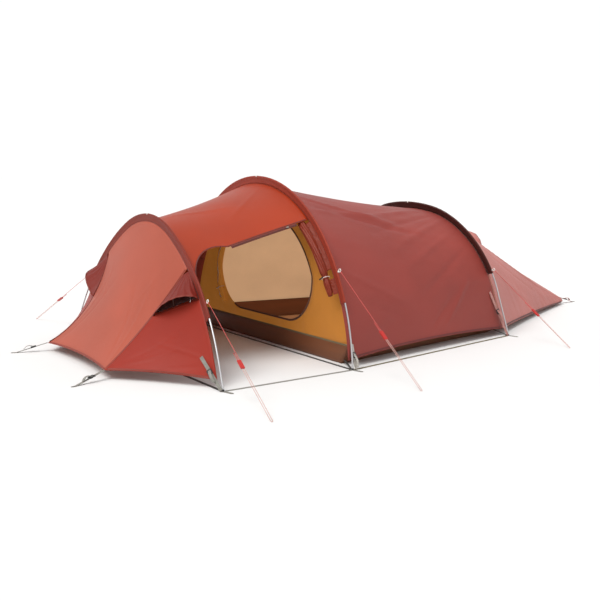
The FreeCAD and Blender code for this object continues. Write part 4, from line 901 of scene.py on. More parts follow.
def nose_inward(u, v):
    start = FRONT.inward(mix(SEAM_RUN, FRONT.total - SEAM_RUN, v))
    across = 2 * v - 1
    end = Vector((0.62, -0.55 * across ** 3, -0.5))
    return mix(start, end, min(1.0, 1.6 * u)).normalized()


def panel_point(u, v):
    seam = nose_point(mix(VENT_SHARE, 1.0, v), 0.0)
    leg = FRONT.point(mix(BRIM_RUN, hem_runs(FRONT)[0], v), DEPTH, -BESIDE)
    here = mix(seam, leg, u) + (leg - seam).normalized() * 0.0006 * (1 - u)
    hollow = 4 * u * (1 - u)
    here.y += 0.016 * hollow
    here.z += 0.010 * hollow * v ** 3
    return here


def panel_inward(u, v):
    seam = nose_inward(mix(VENT_SHARE, 1.0, v), 0.0)
    leg = FRONT.inward(mix(BRIM_RUN, hem_runs(FRONT)[0], v))
    return mix(seam, mix(leg, Vector((0.45, 0.9, 0)), 4 * u * (1 - u)), u).normalized()


def other_side(point):
    """The same surface on the far side, mirrored across the tent's middle."""
    return lambda u, v: Vector((1, -1, 1)) * point(u, v)


def on_side(side, point):
    return point if side == "near" else other_side(point)


NOSE_FOLDS = [((1.0, 0.02), (0.25, 0.22), 0.02, 0.0046), ((1.0, 0.05), (0.35, 0.38), 0.02, -0.0034),
              ((1.0, 0.98), (0.25, 0.78), 0.02, 0.0046), ((1.0, 0.95), (0.35, 0.62), 0.02, -0.0034),
              ((0.0, 0.12), (0.6, 0.30), 0.018, 0.0024), ((0.0, 0.88), (0.6, 0.70), 0.018, 0.0024)]
SIDE_FOLDS = [((0.0, 0.98), (0.8, 0.55), 0.03, 0.0040), ((0.03, 0.90), (0.75, 0.30), 0.03, -0.0036),
              ((1.0, 0.80), (0.3, 0.5), 0.03, 0.0030), ((0.2, 1.0), (0.95, 0.85), 0.02, -0.0026)]


def nose_relief(u, v):
    wave = 0.0020 * ripple_at(u * 3.0, v * 5.0, 11.0)
    edge = min(v, 1 - v)
    fan = abs(math.sin(28.0 * edge / (u + 0.12))) * smooth_step(0.16, 0.02, edge) * smooth_step(0.42, 0.05, u)
    return (0.35 * pulls(u, v, NOSE_FOLDS) + wave + 0.0035 * fan) * edge_calm(u, v) - 0.0004


def side_relief(u, v):
    wave = 0.0022 * ripple_at(u * 3.0, v * 4.0, 5.0)
    return (0.4 * pulls(u, v, SIDE_FOLDS) + wave) * edge_calm(u, v) - 0.0004


panel("cloth_front_panel", nose_point, 54, 84, FRONT_RED, relief=nose_relief,
      outward=outward_of(nose_inward), replaces=["fly_front_panel"])
for side_name in SIDES:
    panel("cloth_side_panel_" + side_name, on_side(side_name, panel_point), 48, 48, SIDE_RED_SHADED, relief=side_relief,
          outward=on_side(side_name, outward_of(panel_inward)), replaces=["fly_side_panel_" + side_name])


# %% [markdown]
# ## Vent hoods
# Above each side panel a hood of gathered cloth stands out over a net window, held
# open by a short strut. Its cloth starts flat at the pole and the seam, and fans out
# in folds towards its curved brim. The folds are a wave across the hood whose height
# grows with the distance from the tip.

# %% Front vents
VENT_OUT = Vector((-0.45, -0.62, 0.64))
HOOD_TIP, HOOD_STANDS, NET_INSIDE = 0.05, 0.095, -0.0026


def hood_swell(u, v):
    """How far a hood stands off its window, from nothing at its tip and its sides."""
    return HOOD_STANDS * v ** 1.3 * (4 * u * (1 - u)) ** 0.8


def hood_sides(u, margin):
    return smooth_step(0.0, margin, u) * smooth_step(0.0, margin, 1 - u)


def vent_base(u, v, lift=0.0):
    seam = nose_point(mix(HOOD_TIP, VENT_SHARE, v), 0.0)
    leg = FRONT.point(mix(SEAM_RUN, BRIM_RUN, mix(0.10, 1.0, v)), DEPTH, -BESIDE)
    across = (leg - seam).normalized()
    return mix(seam, leg, u) + across * 0.0006 * (1 - u) - vent_inward(u, v) * lift


def vent_inward(u, v):
    seam = nose_inward(mix(HOOD_TIP, VENT_SHARE, v), 0.0)
    leg = FRONT.inward(mix(SEAM_RUN, BRIM_RUN, mix(0.10, 1.0, v)))
    return mix(seam, leg, u).normalized()


def hood_point(u, v):
    return vent_base(u, v) + VENT_OUT * hood_swell(u, v)


def mesh_point(u, v):
    return vent_base(mix(0.02, 0.98, u), mix(0.05, 0.93, v), NET_INSIDE)


def hood_relief(u, v):
    fan = abs(math.sin(math.pi * (u * 6.0 + 0.5 * math.sin(3.0 * v)))) ** 2.5
    calm = hood_sides(u, 0.10)
    return (0.0090 * fan - 0.0040) * v ** 0.8 * (1 - 0.45 * v) * calm + 0.0015 * ripple_at(u * 8, v * 6, 4.0) * calm


def hood_out(u, v):
    return -vent_inward(u, v)


for side_name in SIDES:
    panel("cloth_hood_" + side_name, on_side(side_name, hood_point), 60, 30, HOOD_RED, relief=hood_relief,
          outward=on_side(side_name, hood_out), replaces=["vent_hood_" + side_name])
for side_name, stood_for in (("near", ["vent_meshes"]), ("far", [])):
    panel("net_" + side_name, on_side(side_name, mesh_point), 24, 24, NET, thick=0.0006,
          outward=on_side(side_name, hood_out), replaces=stood_for)


# %% [markdown]
# ## Tail
# Behind the rear pole the fly narrows to a low end near the ground, like a sleeping
# bag's foot. It is the slackest cloth, so it has the deepest ripples, most of them
# across it just above the hem. A window under the rear hood lets air out.

# %% Tail and rear vent
def half_turn(v):
    """The way into a half round arch, level at its feet and straight down at its crown."""
    return Vector((0, math.cos(math.pi * v), -math.sin(math.pi * v)))


def tail_inward(u, v):
    return mix(REAR.inward(mix(*hem_runs(REAR), v)), half_turn(v), u).normalized()


def tail_point(u, v):
    start = REAR.point(mix(*hem_runs(REAR), v), DEPTH, BESIDE)
    end = Vector((TAIL_X, -0.042 * math.cos(math.pi * v), HEM / 2 + 0.034 * math.sin(math.pi * v)))
    return mix(start, end, u) + tail_inward(u, v) * 0.022 * 4 * u * (1 - u)


def sheet_normal(point, u, v, towards):
    step = 0.01
    along = point(min(u + step, 1), v) - point(max(u - step, 0), v)
    across = point(u, min(v + step, 1)) - point(u, max(v - step, 0))
    normal = along.cross(across).normalized()
    return normal if normal.dot(towards) > 0 else -normal


def tail_lift(along):
    return sheet_normal(tail_point, along, 0.5, Vector((0, 0, -1)))


VENT_START, VENT_END, VENT_HALF = 0.05, 0.34, 0.10


def vent_half(share):
    """Half the rear vent's width, as a share of the tail's arch."""
    return VENT_HALF * (0.25 + 0.75 * share)


def rear_base(u, v, lift=0.0):
    along = mix(VENT_START, VENT_END, v)
    half = vent_half(v)
    return tail_point(along, 0.5 + half * (2 * u - 1)) - tail_lift(along) * lift


def rear_hood_point(u, v):
    return rear_base(u, v, 0.0023 + hood_swell(u, v))


def rear_mesh_point(u, v):
    return rear_base(mix(0.1, 0.9, u), mix(0.35, 0.92, v), NET_INSIDE)


def rear_out(u, v):
    return -tail_lift(mix(VENT_START, VENT_END, v))


def in_window(u, v):
    """True where the tail's cloth is cut away under the rear hood."""
    share = (u - VENT_START) / (VENT_END - VENT_START)
    return 0.45 < share < 0.86 and abs(v - 0.5) < vent_half(share) * 0.6


TAIL_FOLDS = [((0.02, 0.40), (0.75, 0.22), 0.012, 0.0040), ((0.02, 0.30), (0.65, 0.14), 0.012, -0.0030),
              ((0.98, 0.20), (0.35, 0.30), 0.02, 0.0036), ((0.98, 0.40), (0.30, 0.42), 0.02, 0.0030),
              ((0.02, 0.60), (0.75, 0.78), 0.012, 0.0040), ((0.98, 0.80), (0.35, 0.70), 0.02, 0.0036),
              ((0.02, 0.20), (0.55, 0.06), 0.012, 0.0034)]


def tail_relief(u, v):
    wave = 0.0040 * ripple_at(u * 3.0, v * 7.0, 21.0)
    low = smooth_step(0.30, 0.06, min(v, 1 - v))
    ruck = 0.0048 * ripple_at(u * 26.0 + v * 12.0, v * 5.0, 9.0) * low * smooth_step(0.05, 0.3, u)
    return (pulls(u, v, TAIL_FOLDS) + wave + ruck) * edge_calm(u, v) - 0.0004


panel("cloth_fly_tail", tail_point, 90, 130, PINK, relief=tail_relief, hole=in_window,
      outward=outward_of(tail_inward), replaces=["fly_tail"])


def rear_hood_relief(u, v):
    fan = abs(math.sin(math.pi * u * 5.0)) ** 2.5
    return (0.0060 * fan - 0.0020) * v ** 0.8 * (1 - 0.5 * v) * hood_sides(u, 0.12)


panel("cloth_hood_rear", rear_hood_point, 44, 26, PINK, relief=rear_hood_relief,
      outward=rear_out, replaces=["vent_hood_rear"])
panel("net_rear", rear_mesh_point, 20, 20, NET, thick=0.0006,
      outward=rear_out)


# %% [markdown]
# ## Pole sleeves
# Each pole runs in a tunnel of darker cloth sewn to the fly by a flat fin; the rear
# tunnel is darkest, as painted shade on its side turned from the light. The
# tunnel is gathered a little where the needle pulled it in, so its surface ripples
# across the pole. It stops above the ground on each side with an open mouth, and the
# bare pole comes out of it. The skin is one profile, fin, tunnel, fin, swept along.

# %% Sleeves
SLEEVES = {"front": (0.345, SLEEVE_FRONT), "mid": (0.372, SLEEVE_MAUVE), "rear": (0.425, SLEEVE_SHADED)}
FIN = 0.0015


def sleeve_profile(count=18):
    """Pairs of inset and beside round the outside of the tunnel, from fin to fin."""
    root, neck = DEPTH + CLOTH, 2 * SKIN
    fin = [(root, FIN), (mix(root, neck, 0.33), FIN), (mix(root, neck, 0.66), FIN), (neck, FIN * 1.1)]
    angles = [math.pi * i / count for i in range(count + 1)]
    tunnel = [(-SKIN * math.sin(angle), SKIN * math.cos(angle)) for angle in angles]
    return fin + tunnel + [(inset, -beside) for inset, beside in reversed(fin)]


def sleeve(hoop_name):
    hoop = HOOPS[hoop_name]
    height, material = SLEEVES[hoop_name]
    start = hoop.run_at(height)
    length = hoop.total - 2 * start
    outline = sleeve_profile()
    rows = int(length / 0.010)
    verts, uvs = [], []
    for i in range(rows + 1):
        run = start + length * i / rows
        row = []
        for k, (inset, beside) in enumerate(outline):
            tunnel = 1.0 if 3 < k < len(outline) - 4 else 0.35
            gather = 0.0006 * ripple_at(run * 55.0, k * 0.18, 2.0) * tunnel
            if k in (0, len(outline) - 1):
                gather = 0.0
            row.append(hoop.point(run, inset - gather, beside + math.copysign(abs(gather) * 0.5, beside)))
        verts += row
        uvs += [(run, width) for width in travelled(row)]
    obj = new_mesh("cloth_sleeve_" + hoop_name, verts, grid_faces(rows + 1, len(outline)), material, uvs)
    middle = len(outline) // 2
    face_towards(obj, obj.data.polygons[middle].center - hoop.point(start), middle)
    thicken(obj, 0.0007)
    settle(obj, ["sleeve_" + hoop_name])
    print("sleeve", hoop_name, round(length, 2), "m long")


for hoop_name in HOOPS:
    sleeve(hoop_name)


# %% [markdown]
# ## Inner tent
# The yellow inner tent hangs inside the fly on short hangers. Its long cloth is two
# panels, one between the middle and rear arches and one down to the low arch at the
# foot end. Between the hangers it sags, so its folds run from hanger to hanger.

# %% Inner canopy
INSET = 0.084
FLOOR_REAR = -FLOOR_FRONT
WALL_LOW = 0.1203
FLOOR_GAP = MID_X - FLOOR_FRONT
FRONT_EDGE = -FLOOR_GAP + CLOTH + 0.0003
REAR_WALL_HALF, REAR_WALL_HEIGHT = 0.250, 0.240


def arch_run(hoop, v):
    low = hoop.run_at(WALL_LOW, INSET)
    return mix(low, hoop.total - low, v)


def inner_arch(hoop, v, shift=0.0):
    return hoop.point(arch_run(hoop, v), INSET) + FORWARD * shift


def arch_inward(hoop, v):
    return hoop.inward(arch_run(hoop, v))


def low_arch(v):
    return Vector((FLOOR_REAR, -REAR_WALL_HALF * math.cos(math.pi * v),
                   WALL_LOW + (REAR_WALL_HEIGHT - WALL_LOW) * math.sin(math.pi * v)))


def canopy_front(u, v):
    return mix(inner_arch(MID, v, FRONT_EDGE), inner_arch(REAR, v), u)


def canopy_rear(u, v):
    return mix(inner_arch(REAR, v), low_arch(v), u)


def canopy_relief(u, v):
    hang = 0.5 - 0.5 * math.cos(math.tau * 6 * v)
    folds = 0.006 * hang * ripple_at(u * 2.5, v * 16.0, 31.0) - 0.010 * 4 * u * (1 - u)
    return folds * edge_calm(u, v, 0.08) - 0.0004


panel("cloth_canopy_front", canopy_front, 48, 110, BEIGE, relief=canopy_relief,
      outward=outward_of(lambda u, v: mix(arch_inward(MID, v), arch_inward(REAR, v), u).normalized()),
      replaces=["inner_canopy"])
panel("cloth_canopy_rear", canopy_rear, 40, 90, BEIGE, relief=canopy_relief,
      outward=outward_of(lambda u, v: mix(arch_inward(REAR, v), half_turn(v), u).normalized()))


# %% [markdown]
# ## Front wall with its doorway
# The inner wall is flat cloth inside the middle hoop with a big D-shaped doorway.
# Both outlines are star-shaped about a point in the doorway, so the wall is a grid
# of rays from one outline to the other, and the cut edge stays smooth.

# %% Inner front wall
DOOR_HALF, DOOR_TOP, DOOR_WIDE, DOOR_SILL = 0.550, 0.852, 0.480, 0.180


def circle_through(a, b, c):
    """Centre and radius of the circle through three points of a plane."""
    ax, ay, bx, by, cx, cy = *a, *b, *c
    d = 2 * (ax * (by - cy) + bx * (cy - ay) + cx * (ay - by))
    ux = ((ax * ax + ay * ay) * (by - cy) + (bx * bx + by * by) * (cy - ay) + (cx * cx + cy * cy) * (ay - by)) / d
    uy = ((ax * ax + ay * ay) * (cx - bx) + (bx * bx + by * by) * (ax - cx) + (cx * cx + cy * cy) * (bx - ax)) / d
    return (ux, uy), math.hypot(ax - ux, ay - uy)


def inner_doorway_path(count_top=60, count_side=26, count_low=14, grow=0.0):
    """Points of the doorway's outline from the far sill corner over the top and back."""
    half, top, sill = DOOR_HALF + grow, DOOR_TOP + grow, DOOR_SILL - grow
    low = 0.55 * half
    bend = (0.87 * half, mix(sill, DOOR_WIDE, 0.30))

    def arc(a, b, c, count):
        (ux, uy), radius = circle_through(a, b, c)
        first = math.atan2(a[1] - uy, a[0] - ux)
        last = math.atan2(c[1] - uy, c[0] - ux)
        middle = math.atan2(b[1] - uy, b[0] - ux)
        while last - first > math.pi:
            last -= math.tau
        while last - first < -math.pi:
            last += math.tau
        if not min(first, last) - 1e-6 <= middle <= max(first, last) + 1e-6:
            middle += math.tau if middle < min(first, last) else -math.tau
            if not min(first, last) <= middle <= max(first, last):
                last += -math.tau if last > first else math.tau
        turns = [mix(first, last, i / count) for i in range(count)]
        return [(ux + radius * math.cos(turn), uy + radius * math.sin(turn)) for turn in turns]

    points = arc((low, sill), bend, (half, DOOR_WIDE), count_side)
    points += arc((half, DOOR_WIDE), (0, top), (-half, DOOR_WIDE), count_top)
    points += arc((-half, DOOR_WIDE), (-bend[0], bend[1]), (-low, sill), count_side)
    points += [(mix(-low, low, i / count_low), sill) for i in range(count_low)]
    return points


HOLE = inner_doorway_path()
STAR_Z = 0.42


def wall_reach(dy, dz):
    """Distance from the star's centre to the wall's outer edge in one direction."""
    arch_low = MID.run_at(WALL_LOW, INSET)
    crown = MID.flat(MID.total / 2, INSET)[1]

    def inside(reach):
        y, z = dy * reach, STAR_Z + dz * reach
        if not WALL_LOW < z < crown:
            return False
        run = last_where(lambda here: MID.flat(here, INSET)[1] < z, arch_low, MID.total / 2, 26)
        return abs(y) < -MID.flat(run, INSET)[0]

    return last_where(inside, 0.0, 1.6, 32)


def front_wall():
    rings = 10
    verts, uvs = [], []
    for y, z in HOLE:
        dy, dz = y, z - STAR_Z
        reach = math.hypot(dy, dz)
        outer = wall_reach(dy / reach, dz / reach) / reach
        for j in range(rings + 1):
            share = j / rings
            scale = mix(1.0, outer, share)
            py, pz = dy * scale, STAR_Z + dz * scale
            wave = 0.0075 * ripple_at(py * 7, pz * 5, 41.0) + 0.005 * ripple_at(py * 18, pz * 4 + py * 9, 3.0)
            wave *= smooth_step(0, 0.3, share) * smooth_step(0, 0.25, 1 - share)
            verts.append((FLOOR_FRONT + 0.0002 + wave, py, pz))
            uvs.append((py, pz))
    faces = grid_faces(len(HOLE), rings + 1, round_rows=True)
    obj = new_mesh("cloth_inner_front_wall", verts, faces, YELLOW, uvs)
    face_towards(obj, -FORWARD)
    thicken(obj, 0.0015)
    settle(obj, ["inner_front_wall"])


front_wall()


def rear_wall_point(u, v):
    edge = low_arch(v)
    return Vector((FLOOR_REAR - 0.0003, edge.y * 0.99, mix(WALL_LOW, edge.z - 0.0023 * math.sin(math.pi * v), u)))


panel("cloth_inner_rear_wall", rear_wall_point, 8, 40, YELLOW, outward=always(FORWARD),
      replaces=["inner_rear_wall"])


# %% [markdown]
# ## Ground sheet
# The floor is a tub: one cloth folded up all round into a low wall, with an edge
# tape on top. Its walls lean out to the inner cloth's edge. The floor itself is
# never flat when a tent is empty: it has long packing folds and shallow waves.

# %% Tub
TUB_RIM, FLARE = 0.120, 0.072
TUB_FOOT, TUB_CLOTH_THICK = 0.0012, 0.0012
HALF_FRONT = -MID.point(MID.run_at(WALL_LOW, INSET), INSET).y
REAR_EDGE = REAR.point(REAR.run_at(WALL_LOW, INSET), INSET)


def tub_half(x, height):
    """Half width of the tub at an x along the tent and a height above the ground."""
    lean = FLARE * (1 - height / TUB_RIM)
    if x < REAR_EDGE.x:
        share = (x - FLOOR_FRONT) / (REAR_EDGE.x - FLOOR_FRONT)
        return mix(HALF_FRONT, -REAR_EDGE.y, share) - lean
    share = (x - REAR_EDGE.x) / (FLOOR_REAR - REAR_EDGE.x)
    return mix(-REAR_EDGE.y - lean, REAR_WALL_HALF - lean / 2, share)


def floor_point(u, v):
    x = mix(FLOOR_FRONT + 0.004, FLOOR_REAR - 0.004, u)
    half = tub_half(x, 0.0024) - 0.004
    y = half * (2 * v - 1)
    wave = 0.0050 * ripple_at(x * 1.2, y * 9.0, 51.0) + 0.0035 * ripple_at(x * 3.0, y * 22.0, 52.0)
    return Vector((x, y, 0.0050 + max(-0.0016, wave) * edge_calm(u, v, 0.06)))


panel("cloth_ground_sheet", floor_point, 110, 110, FLOOR_CLOTH, outward=always(UP), thick=TUB_CLOTH_THICK,
      replaces=["ground_sheet"])


def tub_wall_point(side):
    def point(u, v):
        x = mix(FLOOR_FRONT + 0.0006, FLOOR_REAR - 0.0006, u)
        height = mix(TUB_FOOT, TUB_RIM, v)
        slack = 0.0030 * ripple_at(x * 9.0, v * 2.0, 61.0) * math.sin(math.pi * v)
        return Vector((x, SIDES[side] * -1 * (tub_half(x, height) - 0.0006 + slack), height))

    return point


def tub_out(side):
    return always(Vector((0, -SIDES[side], 0)))


def tub_end_point(x, inset):
    def point(u, v):
        height = mix(TUB_FOOT, TUB_RIM, v)
        half = tub_half(x, height) - 0.001
        return Vector((x + inset, half * (2 * u - 1), height))

    return point


for side_name in SIDES:
    panel("cloth_tub_wall_" + side_name, tub_wall_point(side_name), 120, 10, TUB_CLOTH, thick=TUB_CLOTH_THICK,
          outward=tub_out(side_name))
panel("cloth_tub_wall_front", tub_end_point(FLOOR_FRONT, 0.0012), 60, 8, TUB_CLOTH, thick=TUB_CLOTH_THICK,
      outward=always(-FORWARD))
panel("cloth_tub_wall_rear", tub_end_point(FLOOR_REAR, -0.0012), 30, 8, TUB_CLOTH, thick=TUB_CLOTH_THICK,
      outward=always(FORWARD))


# %% [markdown]
# ## Webbing
# Straps join the feet along the ground, pull the corners down and tie the cloth to
# the poles' feet. Each is a strip that follows points, with rounded edges, cut
# coordinates for its ribs, and a sewn box with a cross in it near each end. Taut
# webbing still bows a little between its ends.

# %% Webbing helper
WEB_WIDTH, WEB_THICK = 0.020, 0.0015
STITCHES = []


def strip(name, points, normals, width, material, thick=WEB_THICK, crown=0.0):
    """Webbing through points: each normal is the way its upper face looks there."""
    across_steps = 6
    verts, uvs = [], []
    runs = travelled(points)
    for i, (p, normal) in enumerate(zip(points, normals)):
        ahead = (points[min(i + 1, len(points) - 1)] - points[max(i - 1, 0)]).normalized()
        side = normal.cross(ahead).normalized()
        up = ahead.cross(side).normalized()
        for k in range(across_steps + 1):
            t = k / across_steps * 2 - 1
            verts.append(p + side * (t * width / 2) + up * (crown * (1 - t * t)))
            uvs.append((runs[i], t * width / 2))
    obj = new_mesh(name, verts, grid_faces(len(points), across_steps + 1), material, uvs)
    face_towards(obj, normals[0])
    thicken(obj, thick, 0.0)
    edge = obj.modifiers.new("rounded edges", "BEVEL")
    edge.width = thick * 0.35
    edge.segments = 2
    return settle(obj)


def straight_run(start, end, normal, sag=0.0, count=14):
    shares = [i / count for i in range(count + 1)]
    points = [mix(start, end, share) - normal * sag * 4 * share * (1 - share) for share in shares]
    return points, [normal] * len(points)


def stitch_row(start, end, normal, pitch=0.0032, length=0.0021, radius=0.00035):
    """Thread stitches along a line, each a small rounded lozenge on the cloth."""
    count = max(1, int((end - start).length / pitch))
    way = (end - start).normalized()
    side = normal.cross(way).normalized()
    for i in range(count):
        centre = start + way * (i + 0.5) * pitch
        STITCHES.append((centre, way, side, normal.normalized(), length, radius))


def sewn_box(centre, way, normal, length, width):
    side = normal.cross(way).normalized()
    corners = [centre + way * (length / 2 * a) + side * (width / 2 * b)
               for a, b in ((-1, -1), (1, -1), (1, 1), (-1, 1))]
    for one, other in zip(corners, corners[1:] + corners[:1]):
        stitch_row(one, other, normal)
    stitch_row(corners[0], corners[2], normal)
    stitch_row(corners[1], corners[3], normal)


def strap(name, start, end, normal, width=WEB_WIDTH, material=None, sag=0.0, sewn=(True, True), thick=WEB_THICK):
    """Straight strap between two points whose lower face starts on them."""
    lift = normal.normalized() * thick / 2
    points, normals = straight_run(start + lift, end + lift, normal.normalized(), sag)
    obj = strip(name, points, normals, width, material or WEB_GREY, thick)
    way = (end - start).normalized()
    top = normal.normalized() * (thick + 0.0002)
    box = min(0.016, (end - start).length * 0.3)
    for wanted, centre in zip(sewn, (start + way * (box * 0.75), end - way * (box * 0.75))):
        if wanted:
            sewn_box(centre + top, way, normal, box, width * 0.72)
    return obj


# %% Straps on the ground
GROUND = 0.0001
SPLAY = math.radians(15)
END_REACH = 0.017 * math.cos(SPLAY) + 0.010 * math.sin(SPLAY)
SIDE_REACH = 0.010 * (1 + math.sin(SPLAY)) / math.cos(SPLAY)


def ground_strap(name, start, end, pad_reach, material):
    way = (end - start).normalized()
    skew = min(abs(way.x), abs(way.y))
    trim = (pad_reach + 0.0003 + skew * WEB_WIDTH / 2) / math.sqrt(1 - skew ** 2)
    lift = UP * GROUND
    return strap(name, start + way * trim + lift, end - way * trim + lift, UP, material=material)


ground = [ground_strap("strap_cross_" + name, toe(HOOPS[name], "near"), toe(HOOPS[name], "far"), END_REACH,
                       WEB_BLACK) for name in ("front", "mid")]
for side_name in SIDES:
    for part_name, one, other, material in (("front", FRONT, MID, WEB_GREY), ("rear", MID, REAR, WEB_OLIVE)):
        ground.append(ground_strap("strap_long_%s_%s" % (part_name, side_name), toe(one, side_name),
                                   toe(other, side_name), SIDE_REACH, material))
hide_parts("ground_straps")


def peg_tab(hoop_name, side):
    foot = toe(HOOPS[hoop_name], side)
    way = Vector((math.sin(SPLAY), -SIDES[side] * math.cos(SPLAY), 0))
    end = foot + way * 0.062
    return ring_ended("tab_peg_%s_%s" % (hoop_name, side), foot - way * 0.017, end, way)


def ring_ended(name, start, hole, way):
    """Flat webbing with a round hole for its eyelet at one end."""
    side = UP.cross(way)
    hole_radius, half = 0.0068, WEB_WIDTH / 2
    verts, uvs = [], []
    steps = 32
    for k in range(steps):
        a = math.tau * k / steps
        ca, sa = math.cos(a), math.sin(a)
        reach = half / max(abs(ca), abs(sa), 1e-6)
        if ca > 0:
            reach = min(half * 1.02, reach)
        outer = (ca * reach, sa * reach)
        for f in (0.0, 0.5, 1.0):
            x, y = mix(hole_radius * ca, outer[0], f), mix(hole_radius * sa, outer[1], f)
            verts.append(hole + way * x + side * y)
            uvs.append((x, y))
    faces = grid_faces(steps, 3, round_rows=True)
    first = len(verts)
    length = (hole - start).length - half
    rows = max(2, int(length / 0.006))
    for i in range(rows + 1):
        for j in range(5):
            y = (j / 4 * 2 - 1) * half
            verts.append(start + way * (length * i / rows) + side * y)
            uvs.append((length * i / rows - length - half, y))
    faces += grid_faces(rows + 1, 5, first)
    verts = [v + UP * (GROUND + WEB_THICK / 2) for v in verts]
    obj = new_mesh(name, verts, faces, WEB_GREY, uvs)
    for face in obj.data.polygons:
        if face.normal.z < 0:
            face.flip()
    thicken(obj, WEB_THICK, 0.0)
    settle(obj)
    sewn_box(hole - way * 0.024 + UP * (GROUND + WEB_THICK + 0.0002), way, UP, 0.014, 0.014)
    return obj


peg_tabs = [peg_tab(name, side) for name in HOOPS for side in SIDES]
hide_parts("peg_tabs")
print(len(ground), "ground straps,", len(peg_tabs), "peg tabs")


# %% Straps at the corners and the tail
NOSE_CORNER = Vector((NOSE_X - 0.0003, -0.4563, 0.052))
NOSE_END = Vector((NOSE_X - 0.200, -0.456 - 0.064, 0))
TAIL_START = Vector((TAIL_X + 0.0003, 0, 0.0545))
TAIL_END = Vector((TAIL_X + 0.190, 0, 0))
HALF_BUCKLE, BUCKLE_AT = 0.0163, 0.45
TAIL_WIDTH, TAIL_THICK = 0.0175, 0.0012


def end_strap(name, start, end, material):
    flat = Vector((end.x - start.x, end.y - start.y, 0)).normalized()
    ring_ended("tab_" + name, end - flat * WEB_WIDTH, end, flat)
    low = end - flat * (WEB_WIDTH + WEB_THICK / 2) + Vector((0, 0, 0.00015))
    way = (low - start).normalized()
    return buckled(name, start, low, (UP - way * UP.dot(way)).normalized(), material, 0.052)


def buckled(name, start, low, normal, material, tail):
    """Strap in two runs with a ladder buckle between them and a free end."""
    way = (low - start).normalized()
    centre = mix(start, low, BUCKLE_AT)
    upper = strap("strap_%s_upper" % name, start, centre - way * HALF_BUCKLE, normal, material=material)
    strap("strap_%s_lower" % name, centre + way * HALF_BUCKLE, low, normal, material=material, sewn=(False, True))
    thread_through(name, centre, way, normal, material, tail)
    return upper


def thread_through(name, centre, way, normal, material, tail):
    """Webbing through a ladder buckle: down the first slot, round the bar and out as a free end."""
    path = [(-HALF_BUCKLE, 0.0010), (-0.012, 0.0022), (-0.0090, 0.0030), (-0.0065, 0.0046), (-0.0035, 0.0074),
            (0.0, 0.0082), (0.0035, 0.0074), (0.0065, 0.0052), (0.0095, 0.0034), (0.013, 0.0020),
            (HALF_BUCKLE, 0.0010)]
    bight = [centre + way * a + normal * b for a, b in path]
    hang = [centre + way * (0.004 + tail * t) + normal * (0.0102 + 0.012 * math.sin(math.pi * t * 0.8))
            - UP * (0.012 * t * t) for t in [i / 8 for i in range(9)]]
    for part, points in (("bight", bight), ("tail", hang)):
        strip("strap_%s_%s" % (name, part), points, [normal] * len(points), TAIL_WIDTH, material, thick=TAIL_THICK)


corner_upper = end_strap("nose_near", NOSE_CORNER, NOSE_END, WEB_GREY)
end_strap("nose_far", mirrored_point(NOSE_CORNER, "far"), mirrored_point(NOSE_END, "far"), WEB_GREY)
end_strap("tail", TAIL_START, TAIL_END, WEB_PINK)
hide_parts("end_straps")


# %% Foot straps
def surface_at(point, x, z, u, v):
    """u, v where a sheet passes a given x and height, by Newton's steps."""
    step = 0.001
    for _ in range(20):
        here = point(u, v)
        along = (point(u + step, v) - here) / step
        across = (point(u, v + step) - here) / step
        det = along.x * across.z - along.z * across.x
        ahead, rise = x - here.x, z - here.z
        u += (ahead * across.z - rise * across.x) / det
        v += (along.x * rise - along.z * ahead) / det
    return u, v


FOOT = {"front": (-1, 0.150, panel_point, 0.9, 0.7, WEB_GREY), "mid": (1, 0.135, body_point, 0.05, 0.06, WEB_LIGHT),
        "rear": (-1, 0.300, body_point, 0.95, 0.10, WEB_PINK)}


def foot_strap(hoop_name, side):
    sign, height, skin, u, v, material = FOOT[hoop_name]
    hoop = HOOPS[hoop_name]
    ahead = hoop.point(hoop.run_at(height)).x + sign * 0.040
    u, v = surface_at(skin, ahead, height, u, v)
    face = sheet_normal(skin, u, v, Vector((0, -1, 0)))
    top = mirrored_point(skin(u, v) + face * 0.0009, side)
    low = mirrored_point(toe(hoop, "near") + Vector((sign * 0.016, -0.008, 0.0030)), side)
    face = mirrored_point(face, side)
    way = (low - top).normalized()
    face = (face - way * face.dot(way)).normalized()
    low.z += 0.5 * WEB_WIDTH * abs(face.cross(way).z)
    return buckled("foot_%s_%s" % (hoop_name, side), top, low, face, material, 0.060)


foot_uppers = [foot_strap(name, side) for name in HOOPS for side in SIDES]
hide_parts("foot_straps")


def corner_strap(hoop_name, side):
    edge_x = {"mid": FLOOR_FRONT + 0.012, "rear": REAR_X}[hoop_name]
    start = Vector((edge_x, -SIDES[side] * (tub_half(edge_x, 0.024) + 0.0015), 0.024))
    end = toe(HOOPS[hoop_name], side) + Vector((0, SIDES[side] * 0.0113, WEB_THICK + 0.0006))
    way = (end - start).normalized()
    return strap("strap_corner_%s_%s" % (hoop_name, side), start + way * 0.003, end, UP, 0.012, WEB_BLACK)


corner_straps = [corner_strap(name, side) for name in ("mid", "rear") for side in SIDES]
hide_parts("corner_straps")
print(len(foot_uppers), "foot straps,", len(corner_straps), "corner straps")


# %% [markdown]
# ## Tabs, loops and hangers
# A white webbing saddle marks each sleeve's crown. A folded tab on each sleeve
# holds a guy ring. Small hooks on elastic carry the inner tent. All are short
# folded pieces, so each is drawn as the strip that it is.

